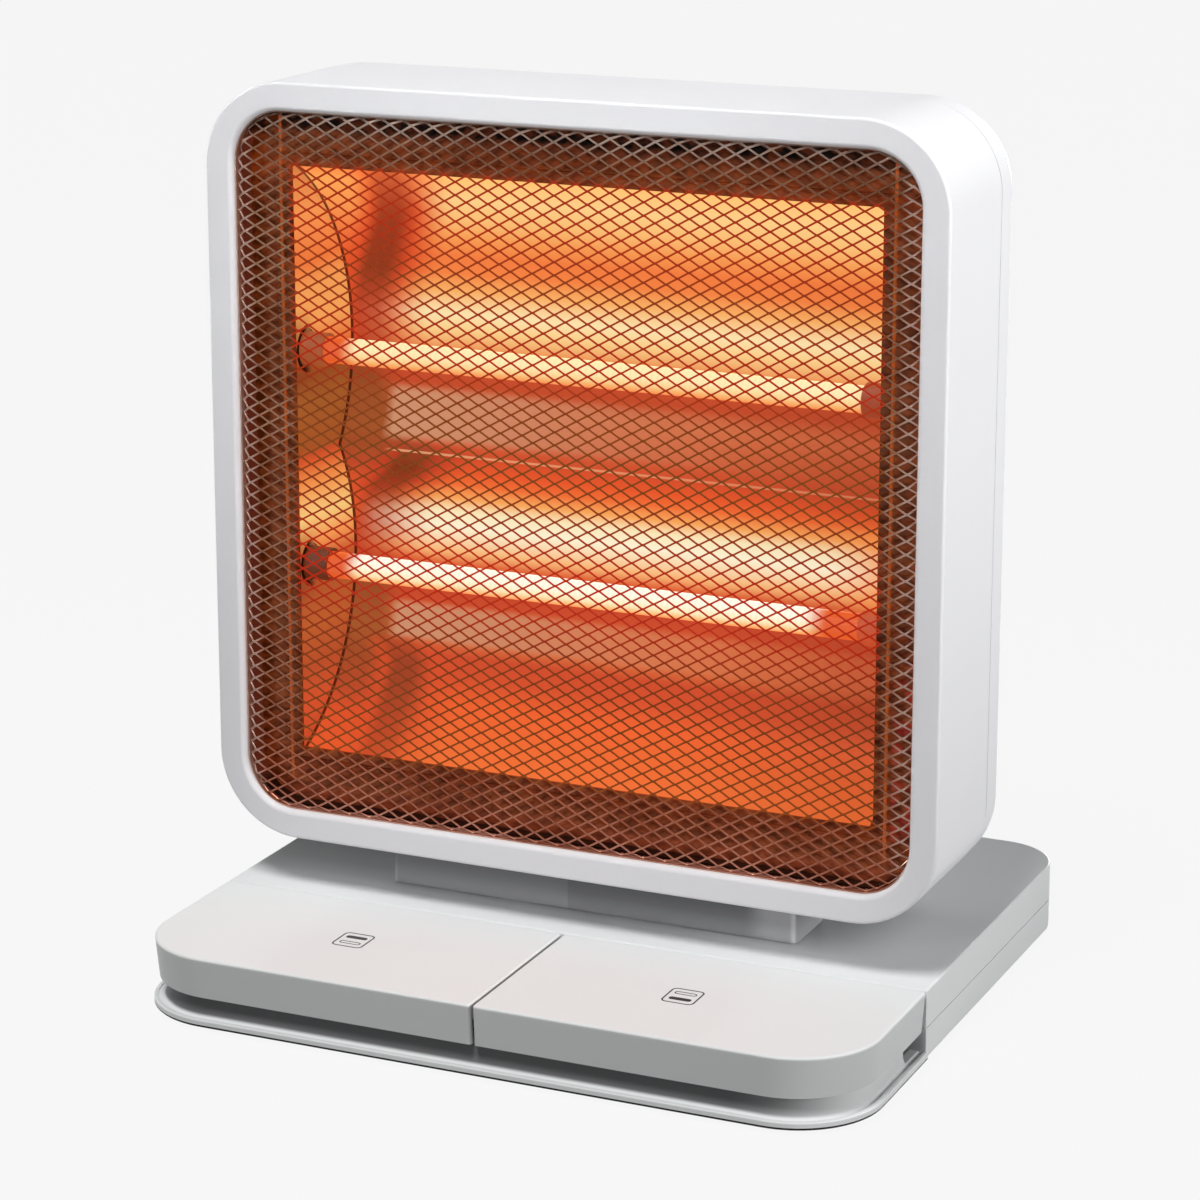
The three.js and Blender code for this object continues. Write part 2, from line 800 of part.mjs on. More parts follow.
function makeHead() {
  const head = new THREE.Group();
  head.position.set(0, seamY, headMiddleZ);
  piece(head, 'front_housing', frontHousing(), glossWhite);
  piece(head, 'rear_cover', rearCover(), glossWhite);
  piece(head, 'guard_mesh', guardMesh(), copperMesh);
  piece(head, 'reflector_surround', reflectorSurround(), brownSheet);
  piece(head, 'reflector', reflector(), polishedSheet);
  piece(head, 'thermal_cutout', thermalCutout(), darkPlastic);
  for (const [side, sideName] of [[-1, 'left'], [1, 'right']]) {
    piece(head, `reflector_cheek_${sideName}`, cheek(side), polishedSheet);
    for (const [level, levelName] of [[1, 'upper'], [-1, 'lower']]) {
      piece(head, `tube_cap_${levelName}_${sideName}`, onTubeAxis(tubeCap(), side, level), ceramic);
      piece(head, `tube_clip_${levelName}_${sideName}`, onTubeAxis(tubeClip(), side, level), zincSteel);
    }
  }
  for (const [level, levelName] of [[1, 'upper'], [-1, 'lower']]) {
    piece(head, `quartz_tube_${levelName}`, onTubeAxis(quartzTube(), 1, level), quartz);
    piece(head, `heating_coil_${levelName}`, onTubeAxis(heatingCoil(), 1, level), hotWire);
  }
  headCorners((sx, sz) => {
    const name = `cover_screw_${sz > 0 ? 'upper' : 'lower'}_${sx > 0 ? 'right' : 'left'}`;
    const body = screw(screwLength).rotate([-90, 0, 0]);
    const seat = shellDepth + towerFloor + seatGap;
    piece(head, name, body.translate([sx * headBossX, seat, sz * headBossZ]), zincSteel);
  });
  return head;
}

// Base pieces are built with the tray's underside at level zero.
const deckRect = rectangle(-baseWidth / 2, baseWidth / 2, seamY, rearY, [
  leastRadius,
  leastRadius,
  rearCorner,
  rearCorner,
]);
const frontRect = rectangle(-baseWidth / 2, baseWidth / 2, frontY, rearY, [
  pedalCorner,
  pedalCorner,
  rearCorner,
  rearCorner,
]);

function sides(make) {
  return [-1, 1].map(make);
}

function baseScrewPlaces() {
  return sides((side) => [seamY + baseScrewFrontInset, rearY - baseScrewRearInset].map((y) => [
    side * (baseWidth / 2 - baseScrewSideInset),
    y,
  ])).flat();
}

function footPlaces() {
  return sides((side) => [frontY + footFrontInset, rearY - footRearInset].map((y) => [
    side * (baseWidth / 2 - footSideInset),
    y,
  ])).flat();
}

// Middle of a hinge eye or post: outer or inner end of one pedal's pin
function eyeX(outer) {
  return outer ? baseWidth / 2 - baseWall - hingeMargin : pedalGap / 2 + baseWall + hingeMargin;
}

function postX(outer) {
  return eyeX(outer) + (outer ? -1 : 1) * (hingeEyeWidth + seatGap);
}

// An eye round the hinge pin, with a web that goes up to a plate or down to a floor
function hingeEye(x, webEnd) {
  const [x0, x1] = [x - hingeEyeWidth / 2, x + hingeEyeWidth / 2];
  const web = box(
    x0,
    x1,
    hingeY - hingeEyeRadius,
    hingeY + hingeEyeRadius,
    Math.min(hingeHeight, webEnd),
    Math.max(hingeHeight, webEnd),
  );
  return joined(bar(hingeEyeRadius, [x0, hingeY, hingeHeight], [x1, hingeY, hingeHeight], bossSides), web);
}

function pinBore(x) {
  const reach = hingeEyeWidth / 2 + cutOverrun / 2;
  return bar(
    hingePinRadius + seatGap,
    [x - reach, hingeY, hingeHeight],
    [x + reach, hingeY, hingeHeight],
    bossSides,
  );
}

function trayFront() {
  const body = moulded(frontRect, [
    [trayFoot - rimLip, 0],
    [-rimLip, trayFoot],
    ...roundOut(-rimLip, rimHeight - rimRound, rimRound, rimRound),
    [rimWidth - rimLip, rimHeight],
    [rimWidth - rimLip, ledgeHeight],
    ...roundIn(plinthInset, ledgeHeight, -coveWidth, coveHeight),
    [plinthInset, plinthHeight],
  ]);
  const wallInset = plinthInset + baseWall;
  const hollow = moulded(frontRect, [[wallInset, trayFloor], [wallInset, plinthHeight + cutOverrun]]);
  const half = baseWidth / 2 + rimLip + cutOverrun;
  const top = plinthHeight + cutOverrun;
  const rearHalf = box(-half, half, seamY, rearY + rimLip + cutOverrun, -cutOverrun, top);
  const wallStops = box(-half, half, seamY - plinthStop, seamY, rimHeight, top);
  return cut(body, hollow, rearHalf, wallStops);
}

// The rear of the tray: its floor runs on under the front, and a wall at the seam closes it
function trayRear() {
  const body = moulded(frontRect, [[trayFoot, 0], [0, trayFoot], [0, traySeamHeight]]);
  const hollow = moulded(frontRect, [[baseWall, trayFloor], [baseWall, traySeamHeight + cutOverrun]]);
  const half = baseWidth / 2 + cutOverrun;
  const [front, top] = [frontY - cutOverrun, traySeamHeight + cutOverrun];
  const wallStart = box(-half, half, front, seamY, trayFloor, top);
  const floorStart = box(-half, half, front, seamY - plinthStop, -cutOverrun, top);
  const wallHalf = (baseWidth - baseWall) / 2;
  const seamWall = box(-wallHalf, wallHalf, seamY, seamY + baseWall, trayFloor / 2, traySeamHeight);
  return joined(cut(body, hollow, wallStart, floorStart), seamWall);
}

function bushPlaceBore() {
  const middle = traySeamHeight + seatGap / 2;
  const behind = [bushX, rearY + cutOverrun, middle];
  return joined(
    bar(bushRadius + seatGap, [bushX, rearY - baseWall - cutOverrun, middle], behind),
    bar(bushRadius + bushFlange + seatGap, [bushX, rearY - bushOuterSheet, middle], behind),
  );
}

function baseTray() {
  const postPlaces = sides((side) => [true, false].map((outer) => side * postX(outer))).flat();
  const posts = postPlaces.map((x) => hingeEye(x, trayFloor / 2));
  const postBores = postPlaces.map(pinBore);
  const pegs = sides((side) => bar(
    springPegRadius,
    [side * pedalMiddleX, seamY - springSetback, trayFloor / 2],
    [side * pedalMiddleX, seamY - springSetback, trayFloor + springPegHeight],
    bossSides,
  ));
  const towers = baseScrewPlaces().map(([x, y]) => (
    bar(towerRadius, [x, y, 0], [x, y, baseTowerHeight], bossSides)
  ));
  const screwCuts = baseScrewPlaces().map(([x, y]) => joined(
    bar(screwBore, [x, y, -cutOverrun], [x, y, baseTowerHeight + cutOverrun], screwSides),
    bar(counterboreRadius, [x, y, -cutOverrun], [x, y, baseTowerHeight - towerFloor], bossSides),
  ));
  const footCuts = footPlaces().map(([x, y]) => (
    bar(footRadius + seatGap, [x, y, -cutOverrun], [x, y, footRecess])
  ));
  const tipHole = bar(
    tipStemRadius + seatGap,
    [tipX, seamY + tipSetback, -cutOverrun],
    [tipX, seamY + tipSetback, trayFloor + cutOverrun],
  );
  const bracketPilots = bracketScrewPlaces(trayFloor, seamY).map(([x, y, z]) => bar(
    screwBore,
    [x, y, z - bracketBossHeight],
    [x, y, z + cutOverrun],
    screwSides,
  ));
  const bosses = bracketBosses(trayFloor, seamY);
  const whole = joined(trayFront(), trayRear(), ...posts, ...pegs, ...towers, ...bosses);
  return cut(whole, ...postBores, ...screwCuts, ...footCuts, tipHole, bushPlaceBore(), ...bracketPilots);
}

function baseCover() {
  const bottom = traySeamHeight + seatGap;
  const outside = moulded(deckRect, [
    [0, bottom],
    ...roundOut(0, baseHeight - baseEdge, baseEdge, baseEdge),
  ]);
  const inside = moulded(deckRect, [[baseWall, bottom - cutOverrun], [baseWall, baseHeight - baseWall]]);
  const bosses = baseScrewPlaces().map(([x, y]) => bar(
    bossRadius,
    [x, y, baseTowerHeight + seatGap],
    [x, y, baseHeight - baseWall / 2],
    bossSides,
  ));
  const pilots = baseScrewPlaces().map(([x, y]) => bar(
    screwBore,
    [x, y, 0],
    [x, y, baseTowerHeight + screwLength],
    screwSides,
  ));
  const passage = box(
    -passageWidth / 2,
    passageWidth / 2,
    seamY + neckMiddleY - passageDepth / 2,
    seamY + neckMiddleY + passageDepth / 2,
    baseHeight - baseWall - cutOverrun,
    baseHeight + cutOverrun,
  );
  return cut(joined(cut(outside, inside), ...bosses), ...pilots, passage, bushPlaceBore());
}

function pedal(side) {
  const near = pedalGap / 2;
  const far = baseWidth / 2;
  const rect = rectangle(near, far, frontY, seamY - seamGap, [
    pedalSideCorner,
    pedalCorner,
    pedalSideCorner,
    pedalSideCorner,
  ]);
  const bottom = baseHeight - pedalSkirt;
  const outside = moulded(rect, [
    [0, bottom],
    ...roundOut(0, baseHeight - baseEdge, baseEdge, baseEdge),
  ]);
  const inside = moulded(rect, [[baseWall, bottom - cutOverrun], [baseWall, pedalUnder]]);
  const rearOpening = box(
    near + baseWall,
    far - baseWall,
    seamY - seamGap - 2 * baseWall,
    seamY,
    bottom - cutOverrun,
    baseHeight - pedalRearSkirt,
  );
  const innerOpening = box(
    near - cutOverrun,
    near + 2 * baseWall,
    frontY + baseWall,
    seamY,
    bottom - cutOverrun,
    baseHeight - pedalInnerSkirt,
  );
  const eyes = [true, false].map((outer) => hingeEye(eyeX(outer), baseHeight - baseWall / 2));
  const pinBores = [true, false].map((outer) => pinBore(eyeX(outer)));
  const pressBoss = bar(
    pressBossRadius,
    [pedalMiddleX, seamY - switchSetback, switchTop + plungerReach + seatGap],
    [pedalMiddleX, seamY - switchSetback, baseHeight - baseWall / 2],
    bossSides,
  );
  const shell = cut(outside, inside, rearOpening, innerOpening);
  return mirrored(cut(joined(shell, ...eyes, pressBoss), ...pinBores), side);
}

function hingePin(side) {
  const reach = hingeEyeWidth / 2;
  const [x0, x1] = [eyeX(false) - reach, eyeX(true) + reach];
  return mirrored(bar(hingePinRadius, [x0, hingeY, hingeHeight], [x1, hingeY, hingeHeight], bossSides), side);
}

// A coil spring as one unbroken tube: rings of points square to a helix, joined in order
function springCurve() {
  const height = pedalUnder - trayFloor - 2 * seatGap - 2 * springWire;
  const steps = springTurns * springTurnSteps;
  const places = [];
  for (let i = 0; i <= steps; i += 1) {
    const angle = (2 * Math.PI * i) / springTurnSteps;
    places.push(new THREE.Vector3(
      springRadius * Math.cos(angle),
      springRadius * Math.sin(angle),
      (height * i) / steps,
    ));
  }
  return places;
}

function returnSpring(side) {
  const places = springCurve();
  const positions = [];
  const up = new THREE.Vector3(0, 0, 1);
  places.forEach((place) => {
    const outward = new THREE.Vector3(place.x, place.y, 0).normalize();
    for (let k = 0; k < springSides; k += 1) {
      const angle = (2 * Math.PI * k) / springSides;
      const point = place.clone()
        .addScaledVector(outward, springWire * Math.cos(angle))
        .addScaledVector(up, springWire * Math.sin(angle));
      positions.push(...point.toArray());
    }
  });
  const index = [];
  for (let r = 0; r + 1 < places.length; r += 1) {
    for (let k = 0; k < springSides; k += 1) {
      const next = (k + 1) % springSides;
      const [a, b] = [r * springSides + k, r * springSides + next];
      index.push(a, b + springSides, b, a, a + springSides, b + springSides);
    }
  }
  const last = (places.length - 1) * springSides;
  for (let k = 1; k + 1 < springSides; k += 1) {
    index.push(0, k, k + 1, last, last + k + 1, last + k);
  }
  const geometry = new THREE.BufferGeometry();
  geometry.setAttribute('position', new THREE.Float32BufferAttribute(positions, 3));
  geometry.setIndex(index);
  const base = trayFloor + seatGap + springWire;
  return solid(geometry).translate([side * pedalMiddleX, seamY - springSetback, base]);
}

// The least gap between turns of the spring, measured on its points
function springGap() {
  const places = springCurve();
  let least = Infinity;
  places.forEach((a, i) => {
    places.slice(i + springTurnSteps - 1).forEach((b) => {
      least = Math.min(least, a.distanceTo(b) - 2 * springWire);
    });
  });
  return least;
}

function switchBody(side) {
  const [x, y] = [side * pedalMiddleX, seamY - switchSetback];
  const body = box(
    x - switchWidth / 2,
    x + switchWidth / 2,
    y - switchDepth / 2,
    y + switchDepth / 2,
    trayFloor + seatGap,
    switchTop,
  );
  const bore = plungerRadius + seatGap;
  return cut(body, bar(bore, [x, y, switchTop - switchBoreDepth], [x, y, switchTop + cutOverrun]));
}

function switchPlunger(side) {
  const [x, y] = [side * pedalMiddleX, seamY - switchSetback];
  return bar(plungerRadius, [x, y, switchTop - plungerInside], [x, y, switchTop + plungerReach]);
}

// The tip-over switch stands on the tray's floor; its plunger reaches through it to the surface underneath.
const tipCollarBottom = trayFloor + tipTravel + tipPlay;
const tipCollarTop = tipCollarBottom + tipCollarHeight;

function tipSwitchBody() {
  const y = seamY + tipSetback;
  const floor = trayFloor + seatGap;
  const body = box(
    tipX - tipWidth / 2,
    tipX + tipWidth / 2,
    y - tipDepth / 2,
    y + tipDepth / 2,
    floor,
    floor + tipHeight,
  );
  const roomTop = tipCollarTop + tipPlay;
  const room = bar(tipCollarRadius + seatGap, [tipX, y, floor - cutOverrun], [tipX, y, roomTop]);
  const guide = bar(tipGuideRadius + seatGap, [tipX, y, floor], [tipX, y, roomTop + tipGuideLength]);
  return cut(body, room, guide);
}

function tipPlunger() {
  return turned([
    [0, -footHeight],
    [tipStemRadius, -footHeight],
    [tipStemRadius, tipCollarBottom],
    [tipCollarRadius, tipCollarBottom],
    [tipCollarRadius, tipCollarTop],
    [tipGuideRadius, tipCollarTop],
    [tipGuideRadius, tipCollarTop + tipGuideLength],
    [0, tipCollarTop + tipGuideLength],
  ]).translate([tipX, seamY + tipSetback, 0]);
}

function terminalBlock() {
  const [y, floor] = [seamY + terminalSetback, trayFloor + seatGap];
  const body = box(
    terminalX - terminalWidth / 2,
    terminalX + terminalWidth / 2,
    y - terminalDepth / 2,
    y + terminalDepth / 2,
    floor,
    floor + terminalHeight,
  );
  const ways = [];
  for (let i = 0; i < terminalWays; i += 1) {
    const x = terminalX + ((i + 1 / 2) / terminalWays - 1 / 2) * terminalWidth;
    ways.push(bar(
      terminalWayRadius,
      [x, y, floor + terminalHeight - terminalWayDepth],
      [x, y, floor + terminalHeight + cutOverrun],
    ));
  }
  return cut(body, ...ways);
}

function cordBush() {
  const flange = bushRadius + bushFlange;
  const wallFront = -baseWall - seatGap;
  const lipFront = -bushOuterSheet + seatGap;
  return turned([
    [bushBore, wallFront - bushInnerSheet],
    [flange, wallFront - bushInnerSheet],
    [flange, wallFront],
    [bushRadius, wallFront],
    [bushRadius, lipFront],
    [flange, lipFront],
    [flange, 0],
    [bushBore, 0],
    [bushBore, wallFront - bushInnerSheet],
  ]).rotate([-90, 0, 0]).translate([bushX, rearY, traySeamHeight + seatGap / 2]);
}

function makeBase() {
  const base = new THREE.Group();
  base.position.set(0, 0, footHeight);
  piece(base, 'base_tray', baseTray(), satinWhite);
  piece(base, 'base_cover', baseCover(), satinWhite);
  for (const [side, name] of [[-1, 'left'], [1, 'right']]) {
    piece(base, `pedal_${name}`, pedal(side), satinWhite);
    piece(base, `hinge_pin_${name}`, hingePin(side), zincSteel);
    piece(base, `return_spring_${name}`, returnSpring(side), zincSteel);
    piece(base, `switch_body_${name}`, switchBody(side), darkPlastic);
    piece(base, `switch_plunger_${name}`, switchPlunger(side), darkPlastic);
  }
  piece(base, 'tip_switch_body', tipSwitchBody(), darkPlastic);
  piece(base, 'tip_plunger', tipPlunger(), darkPlastic);
  piece(base, 'terminal_block', terminalBlock(), darkPlastic);
  piece(base, 'cord_bush', cordBush(), darkPlastic);
  const names = ['front_left', 'rear_left', 'front_right', 'rear_right'];
  footPlaces().forEach(([x, y], i) => {
    const foot = bar(footRadius, [x, y, -footHeight], [x, y, footRecess - seatGap]);
    piece(base, `foot_${names[i]}`, foot, softRubber);
  });
  baseScrewPlaces().forEach(([x, y], i) => {
    const seat = baseTowerHeight - towerFloor - seatGap;
    const body = screw(screwLength).rotate([180, 0, 0]).translate([x, y, seat]);
    piece(base, `base_screw_${names[i]}`, body, zincSteel);
  });
  return base;
}

// Neck: an open sleeve round a steel bracket that ties the head to the tray
function neckColumn() {
  const y0 = seamY + neckSetback;
  const rect = rectangle(-neckWidth / 2, neckWidth / 2, y0, y0 + neckDepth, Array(4).fill(neckCorner));
  const [bottom, top] = [footHeight + baseHeight + seatGap, headBottomZ - seatGap];
  return cut(
    moulded(rect, [[0, bottom], [0, top]]),
    moulded(rect, [[neckWall, bottom - cutOverrun], [neckWall, top + cutOverrun]]),
  );
}

// Levels of the bracket's two feet: the tops of the bosses that carry them
const lowerSeat = footHeight + trayFloor + bracketBossHeight;
const upperSeat = headBottomZ + headWall + bracketBossHeight;

function neckBracket() {
  const y = seamY + neckMiddleY;
  const half = passageWidth / 2 - bracketSideGap;
  const [rear, front] = [y + bracketSheet / 2, seamY + bracketFront];
  const plate = box(-half, half, rear - bracketSheet, rear, lowerSeat + seatGap, upperSeat + bracketRise);
  const feet = [lowerSeat, upperSeat].map((seat) => box(
    -half,
    half,
    front,
    rear,
    seat + seatGap,
    seat + seatGap + bracketSheet,
  ));
  const holes = [lowerSeat, upperSeat].flatMap((seat) => (
    bracketScrewPlaces(0, seamY).map(([x, screwY]) => bar(
      screwBore,
      [x, screwY, seat - cutOverrun],
      [x, screwY, seat + bracketSheet + cutOverrun],
      screwSides,
    ))
  ));
  return cut(joined(plate, ...feet), ...holes);
}

function makeNeck() {
  const neck = new THREE.Group();
  piece(neck, 'neck_column', neckColumn(), glossWhite);
  piece(neck, 'neck_bracket', neckBracket(), zincSteel);
  for (const [seat, levelName] of [[lowerSeat, 'lower'], [upperSeat, 'upper']]) {
    bracketScrewPlaces(0, seamY).forEach(([x, y], i) => {
      const body = screw(bracketScrewLength).translate([x, y, seat + bracketSheet + 2 * seatGap]);
      piece(neck, `bracket_screw_${levelName}_${i ? 'right' : 'left'}`, body, zincSteel);
    });
  }
  return neck;
}

console.log('least gap between spring turns, mm:', springGap().toFixed(2));

const heater = new THREE.Group();
heater.add(makeHead(), makeNeck(), makeBase());

export default heater;
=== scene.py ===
from math import asin, copysign, cos, hypot, pi, radians, sin

import bpy
from mathutils import Matrix, Vector


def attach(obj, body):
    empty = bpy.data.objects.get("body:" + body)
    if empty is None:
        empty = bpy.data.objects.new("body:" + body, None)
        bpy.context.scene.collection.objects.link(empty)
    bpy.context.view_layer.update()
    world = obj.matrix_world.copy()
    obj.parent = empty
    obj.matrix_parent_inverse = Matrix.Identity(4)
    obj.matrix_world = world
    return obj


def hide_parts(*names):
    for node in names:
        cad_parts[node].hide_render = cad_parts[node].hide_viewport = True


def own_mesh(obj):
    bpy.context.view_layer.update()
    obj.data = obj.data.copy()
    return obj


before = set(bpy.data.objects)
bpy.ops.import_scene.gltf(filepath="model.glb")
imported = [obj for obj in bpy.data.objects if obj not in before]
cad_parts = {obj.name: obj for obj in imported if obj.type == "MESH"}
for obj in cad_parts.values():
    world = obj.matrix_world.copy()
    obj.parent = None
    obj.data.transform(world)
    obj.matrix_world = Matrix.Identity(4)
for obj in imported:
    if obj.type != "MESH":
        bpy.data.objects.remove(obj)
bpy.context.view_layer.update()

# Sizes are in millimetres and become metres where a mesh, lamp or camera is made.
MM = 0.001
LEAST = 0.2  # radius of a corner that is left sharp
SHUT = 0.01  # radius that closes the end of a turned piece
SINK = 1.0  # how far a boss runs into the wall it stands on
CORNER_STEPS = 20
EDGE_STEPS = 6
ROUND_SIDES = 40
OVERRUN = 2.0
SMOOTH_ANGLE = radians(38)

# The head, about the middle of its front face
SEAM_Y, HEAD_Z = -48.0, 214.0
HEAD_HALF, HEAD_CORNER, HEAD_EDGE, HEAD_WALL = 160.0, 36.0, 1.3, 2.5
SHELL_DEPTH, HEAD_DEPTH = 60.0, 78.0
BEZEL_BAND, BEZEL_CORNER, BEZEL_LIP, BEZEL_WALL, BEZEL_REAR = 12.0, 22.0, 2.2, 2.0, 12.9
COVER_INSET, COVER_SEAM, COVER_TAPER, COVER_EDGE = 0.3, 1.3, 4.0, 6.0
SPIGOT_OUT, SPIGOT_WALL, SPIGOT_REACH, SPIGOT_ROOT = 2.8, 1.5, 4.0, 2.5
GRIP_HALF_WIDTH, GRIP_HEIGHT, GRIP_DEPTH, GRIP_TOP = 50.0, 26.0, 13.0, 141.0
GRIP_WALL, GRIP_CORNER, GRIP_LIP, GRIP_EDGE = 2.0, 6.5, 1.4, 1.5
LOUVRE_HALF, LOUVRE_HEIGHT, LOUVRE_PITCH, LOUVRE_SPACING, LOUVRE_RISE = 33.0, 4.0, 10.0, 80.0, 75.0
LOUVRE_LIP, LOUVRE_STEPS = 0.5, 6
LOUVRE_ROWS = (-1.5, -0.5, 0.5, 1.5)
HEAD_BOSS = 138.0
TOWER_RADIUS, TOWER_FLOOR, TOWER_BORE, BORE_LIP, SCREW_BORE = 6.0, 4.0, 3.9, 0.4, 1.8

# The guard of expanded metal
GUARD_FRONT, GUARD_SIDE_GAP, GUARD_BEND, GUARD_REAR = 2.5, 0.6, 3.0, 14.2
DIAMOND_HALF_WIDTH, DIAMOND_HALF_HEIGHT = 4.79, 2.64
HOLE_HALF_WIDTH, HOLE_HALF_HEIGHT, HOLE_FLAT = 3.95, 2.1, 0.3
STRAND_SHEET, STRAND_TILT = 0.5, 0.28
MESH_WRAP = 9.0  # how far the mesh runs past the start of its bend
HEM_START, HEM_SHEET = 8.0, 0.7
SCREEN_START, SCREEN_OUT, SCREEN_IN = 3.0, 0.15, 0.5  # thin strip between the bent mesh and the bezel

# The surround, the reflector and the tubes
SURROUND_FRONT, SURROUND_REAR, SURROUND_INSET, SURROUND_SHEET, SURROUND_EDGE = 14.5, 22.5, 3.0, 1.0, 0.6
WINDOW_HALF_WIDTH, WINDOW_HALF_HEIGHT = 128.0, 124.0
BEAD_OFFSET, BEAD_WIDTH, BEAD_HEIGHT, BEAD_STEPS = 4.4, 1.2, 1.0, 8
BEAD_ROUNDING = 0.2  # corner radius of the bead, as a share of its distance from the window
REFLECTOR_LIP, REFLECTOR_SHEET, REFLECTOR_FLANGE = 15.8, 1.0, 9.0
TROUGH_DEPTH, TROUGH_HALF, TUBE_LEVEL, TUBE_Y = 47.0, 78.0, 46.0, 26.0
TROUGH_STEPS = 48
TUBE_RADIUS, TUBE_HALF, QUARTZ_WALL = 5.5, 128.2, 1.0
CAP_START, CAP_END, CAP_RADIUS, CAP_SEAT, CAP_EDGE, CAP_REAR_EDGE = 118.0, 142.0, 7.0, 10.5, 0.4, 0.6
CAP_GROOVE, CAP_GROOVE_WIDTH, CAP_PIN, CAP_PIN_LENGTH = 1.0, 3.6, 1.5, 5.0
CHEEK_HOLE, CHEEK_REAR, CHEEK_FLANGE, CHEEK_SHEET = 8.25, 67.8, 8.0, 1.0
COIL_RADIUS, COIL_WIRE, COIL_PITCH, COIL_HALF = 2.7, 0.45, 2.4, 108.0
COIL_STEPS, COIL_SIDES = 12, 6
LEAD_RADIUS, LEAD_OVERLAP, LEAD_GAP, LEAD_SIDES = 0.8, 1.0, 0.2, 12
REAR_FACE = 0.05, 0.15  # how far a face looks backwards before it is unlit

# The base, from the floor
FOOT = 2.0
BASE_HALF, BASE_TOP, BASE_WALL, BASE_EDGE = 157.0, 31.0, 2.4, 1.0
FRONT_Y, REAR_Y = SEAM_Y - 87.0, SEAM_Y + 184.0
PEDAL_CORNER, REAR_CORNER, PEDAL_SIDE_CORNER = 35.0, 27.0, 1.5
PEDAL_GAP, SEAM_GAP = 1.2, 0.8
PEDAL_BOTTOM, PEDAL_UNDER, PEDAL_LEAN = 14.0, 28.6, 1.2
PEDAL_REAR_OPENING, PEDAL_INNER_OPENING = 27.0, 24.0
HINGE_Y, HINGE_Z, HINGE_PIN, HINGE_EYE, EYE_WIDTH, FIT = SEAM_Y - 6.0, 22.0, 2.0, 4.0, 4.0, 0.3
EYE_PLACES = (11.0, 146.6)
PRESS_X, PRESS_Y, PRESS_RADIUS, PRESS_BOTTOM = 78.8, SEAM_Y - 58.0, 4.0, 24.1
SPRING_Y, SPRING_RADIUS, SPRING_WIRE, SPRING_TURNS, SPRING_STEPS = SEAM_Y - 34.8, 5.2, 0.7, 4, 24
TRAY_SEAM, TRAY_FLOOR, TRAY_FOOT = 15.0, 4.5, 0.6
RIM_LIP, RIM_WIDTH, RIM_TOP, RIM_ROUND, LEDGE_TOP = 1.0, 1.8, 5.3, 0.7, 4.7
PLINTH_INSET, PLINTH_TOP, PLINTH_STOP, COVE_WIDTH, COVE_HEIGHT = 4.4, 19.0, 14.5, 2.2, 4.5
FOOT_RADIUS, FOOT_RECESS = 8.0, 1.0
FOOT_PLACES = [(x, y) for x in (-115.0, 115.0) for y in (FRONT_Y + 30.0, REAR_Y - 20.0)]
SCREW_PLACES = [(x, y) for x in (-140.0, 140.0) for y in (SEAM_Y + 20.0, REAR_Y - 20.0)]
TOWER_HEIGHT, TIP_PLACE, TIP_HOLE = 8.0, (70.0, SEAM_Y + 96.0), 4.3
BUSH_X, BUSH_RADIUS, BUSH_FLANGE, BUSH_SHEET = 100.0, 5.0, 2.0, 1.2
NECK_HALF, NECK_FRONT, NECK_DEPTH, NECK_CORNER, NECK_WALL = 92.0, SEAM_Y + 26.0, 32.0, 3.0, 2.5
PASSAGE_HALF, PASSAGE_DEPTH = 75.0, 18.0
NECK_BOTTOM, NECK_TOP = 31.3, 53.7

# Marks on the pedals: half sizes, the line's width and its height over the surface
MARK_HALF_WIDTH, MARK_HALF_DEPTH, MARK_CORNER, MARK_LINE, MARK_RISE = 6.9, 7.5, 2.4, 0.65, 0.06
MARK_PLACES = {"left": (-74.7, SEAM_Y - 42.8), "right": (71.8, SEAM_Y - 44.6)}
MARK_BAR_HALF, MARK_BAR_DEPTH, MARK_BAR_OFFSET, MARK_BAR_LINE = 4.7, 1.35, 3.0, 0.5
MARK_FILLED_CORNER, MARK_OPEN_CORNER, MARK_SINK, MARK_STEPS = 1.2, 1.3, 0.02, 8

# Camera
CAMERA_PLACE = (0.59578, -1.34076, 0.56800)
CAMERA_YAW, CAMERA_PITCH = 0.42145, 0.23847
LENS, SENSOR, SHIFT_Y = 110.53, 36.0, -0.1

root = bpy.context.scene.collection


# Meshes
def made(name, points, faces):
    mesh = bpy.data.meshes.new(name)
    mesh.from_pydata([[c * MM for c in p] for p in points], [], faces)
    mesh.validate()
    piece = bpy.data.objects.new(name, mesh)
    root.objects.link(piece)
    return piece


def centred(half_x, half_y, corner, x=0.0, y=0.0):
    """A rectangle as its four sides and its corners' radii."""
    return x - half_x, x + half_x, y - half_y, y + half_y, (corner,) * 4


def outline(rect, inset, radius=None, steps=CORNER_STEPS):
    x0, x1, y0, y1, radii = rect
    corners = ((x0, y0, 1, 1), (x1, y0, -1, 1), (x1, y1, -1, -1), (x0, y1, 1, -1))
    points = []
    for k, (x, y, side_x, side_y) in enumerate(corners):
        r = max(radii[k] - inset, LEAST) if radius is None else radius
        middle_x, middle_y = x + side_x * (inset + r), y + side_y * (inset + r)
        for i in range(steps + 1):
            angle = pi * (1 + k / 2) + pi / 2 * i / steps
            points.append((middle_x + r * cos(angle), middle_y + r * sin(angle)))
    return points


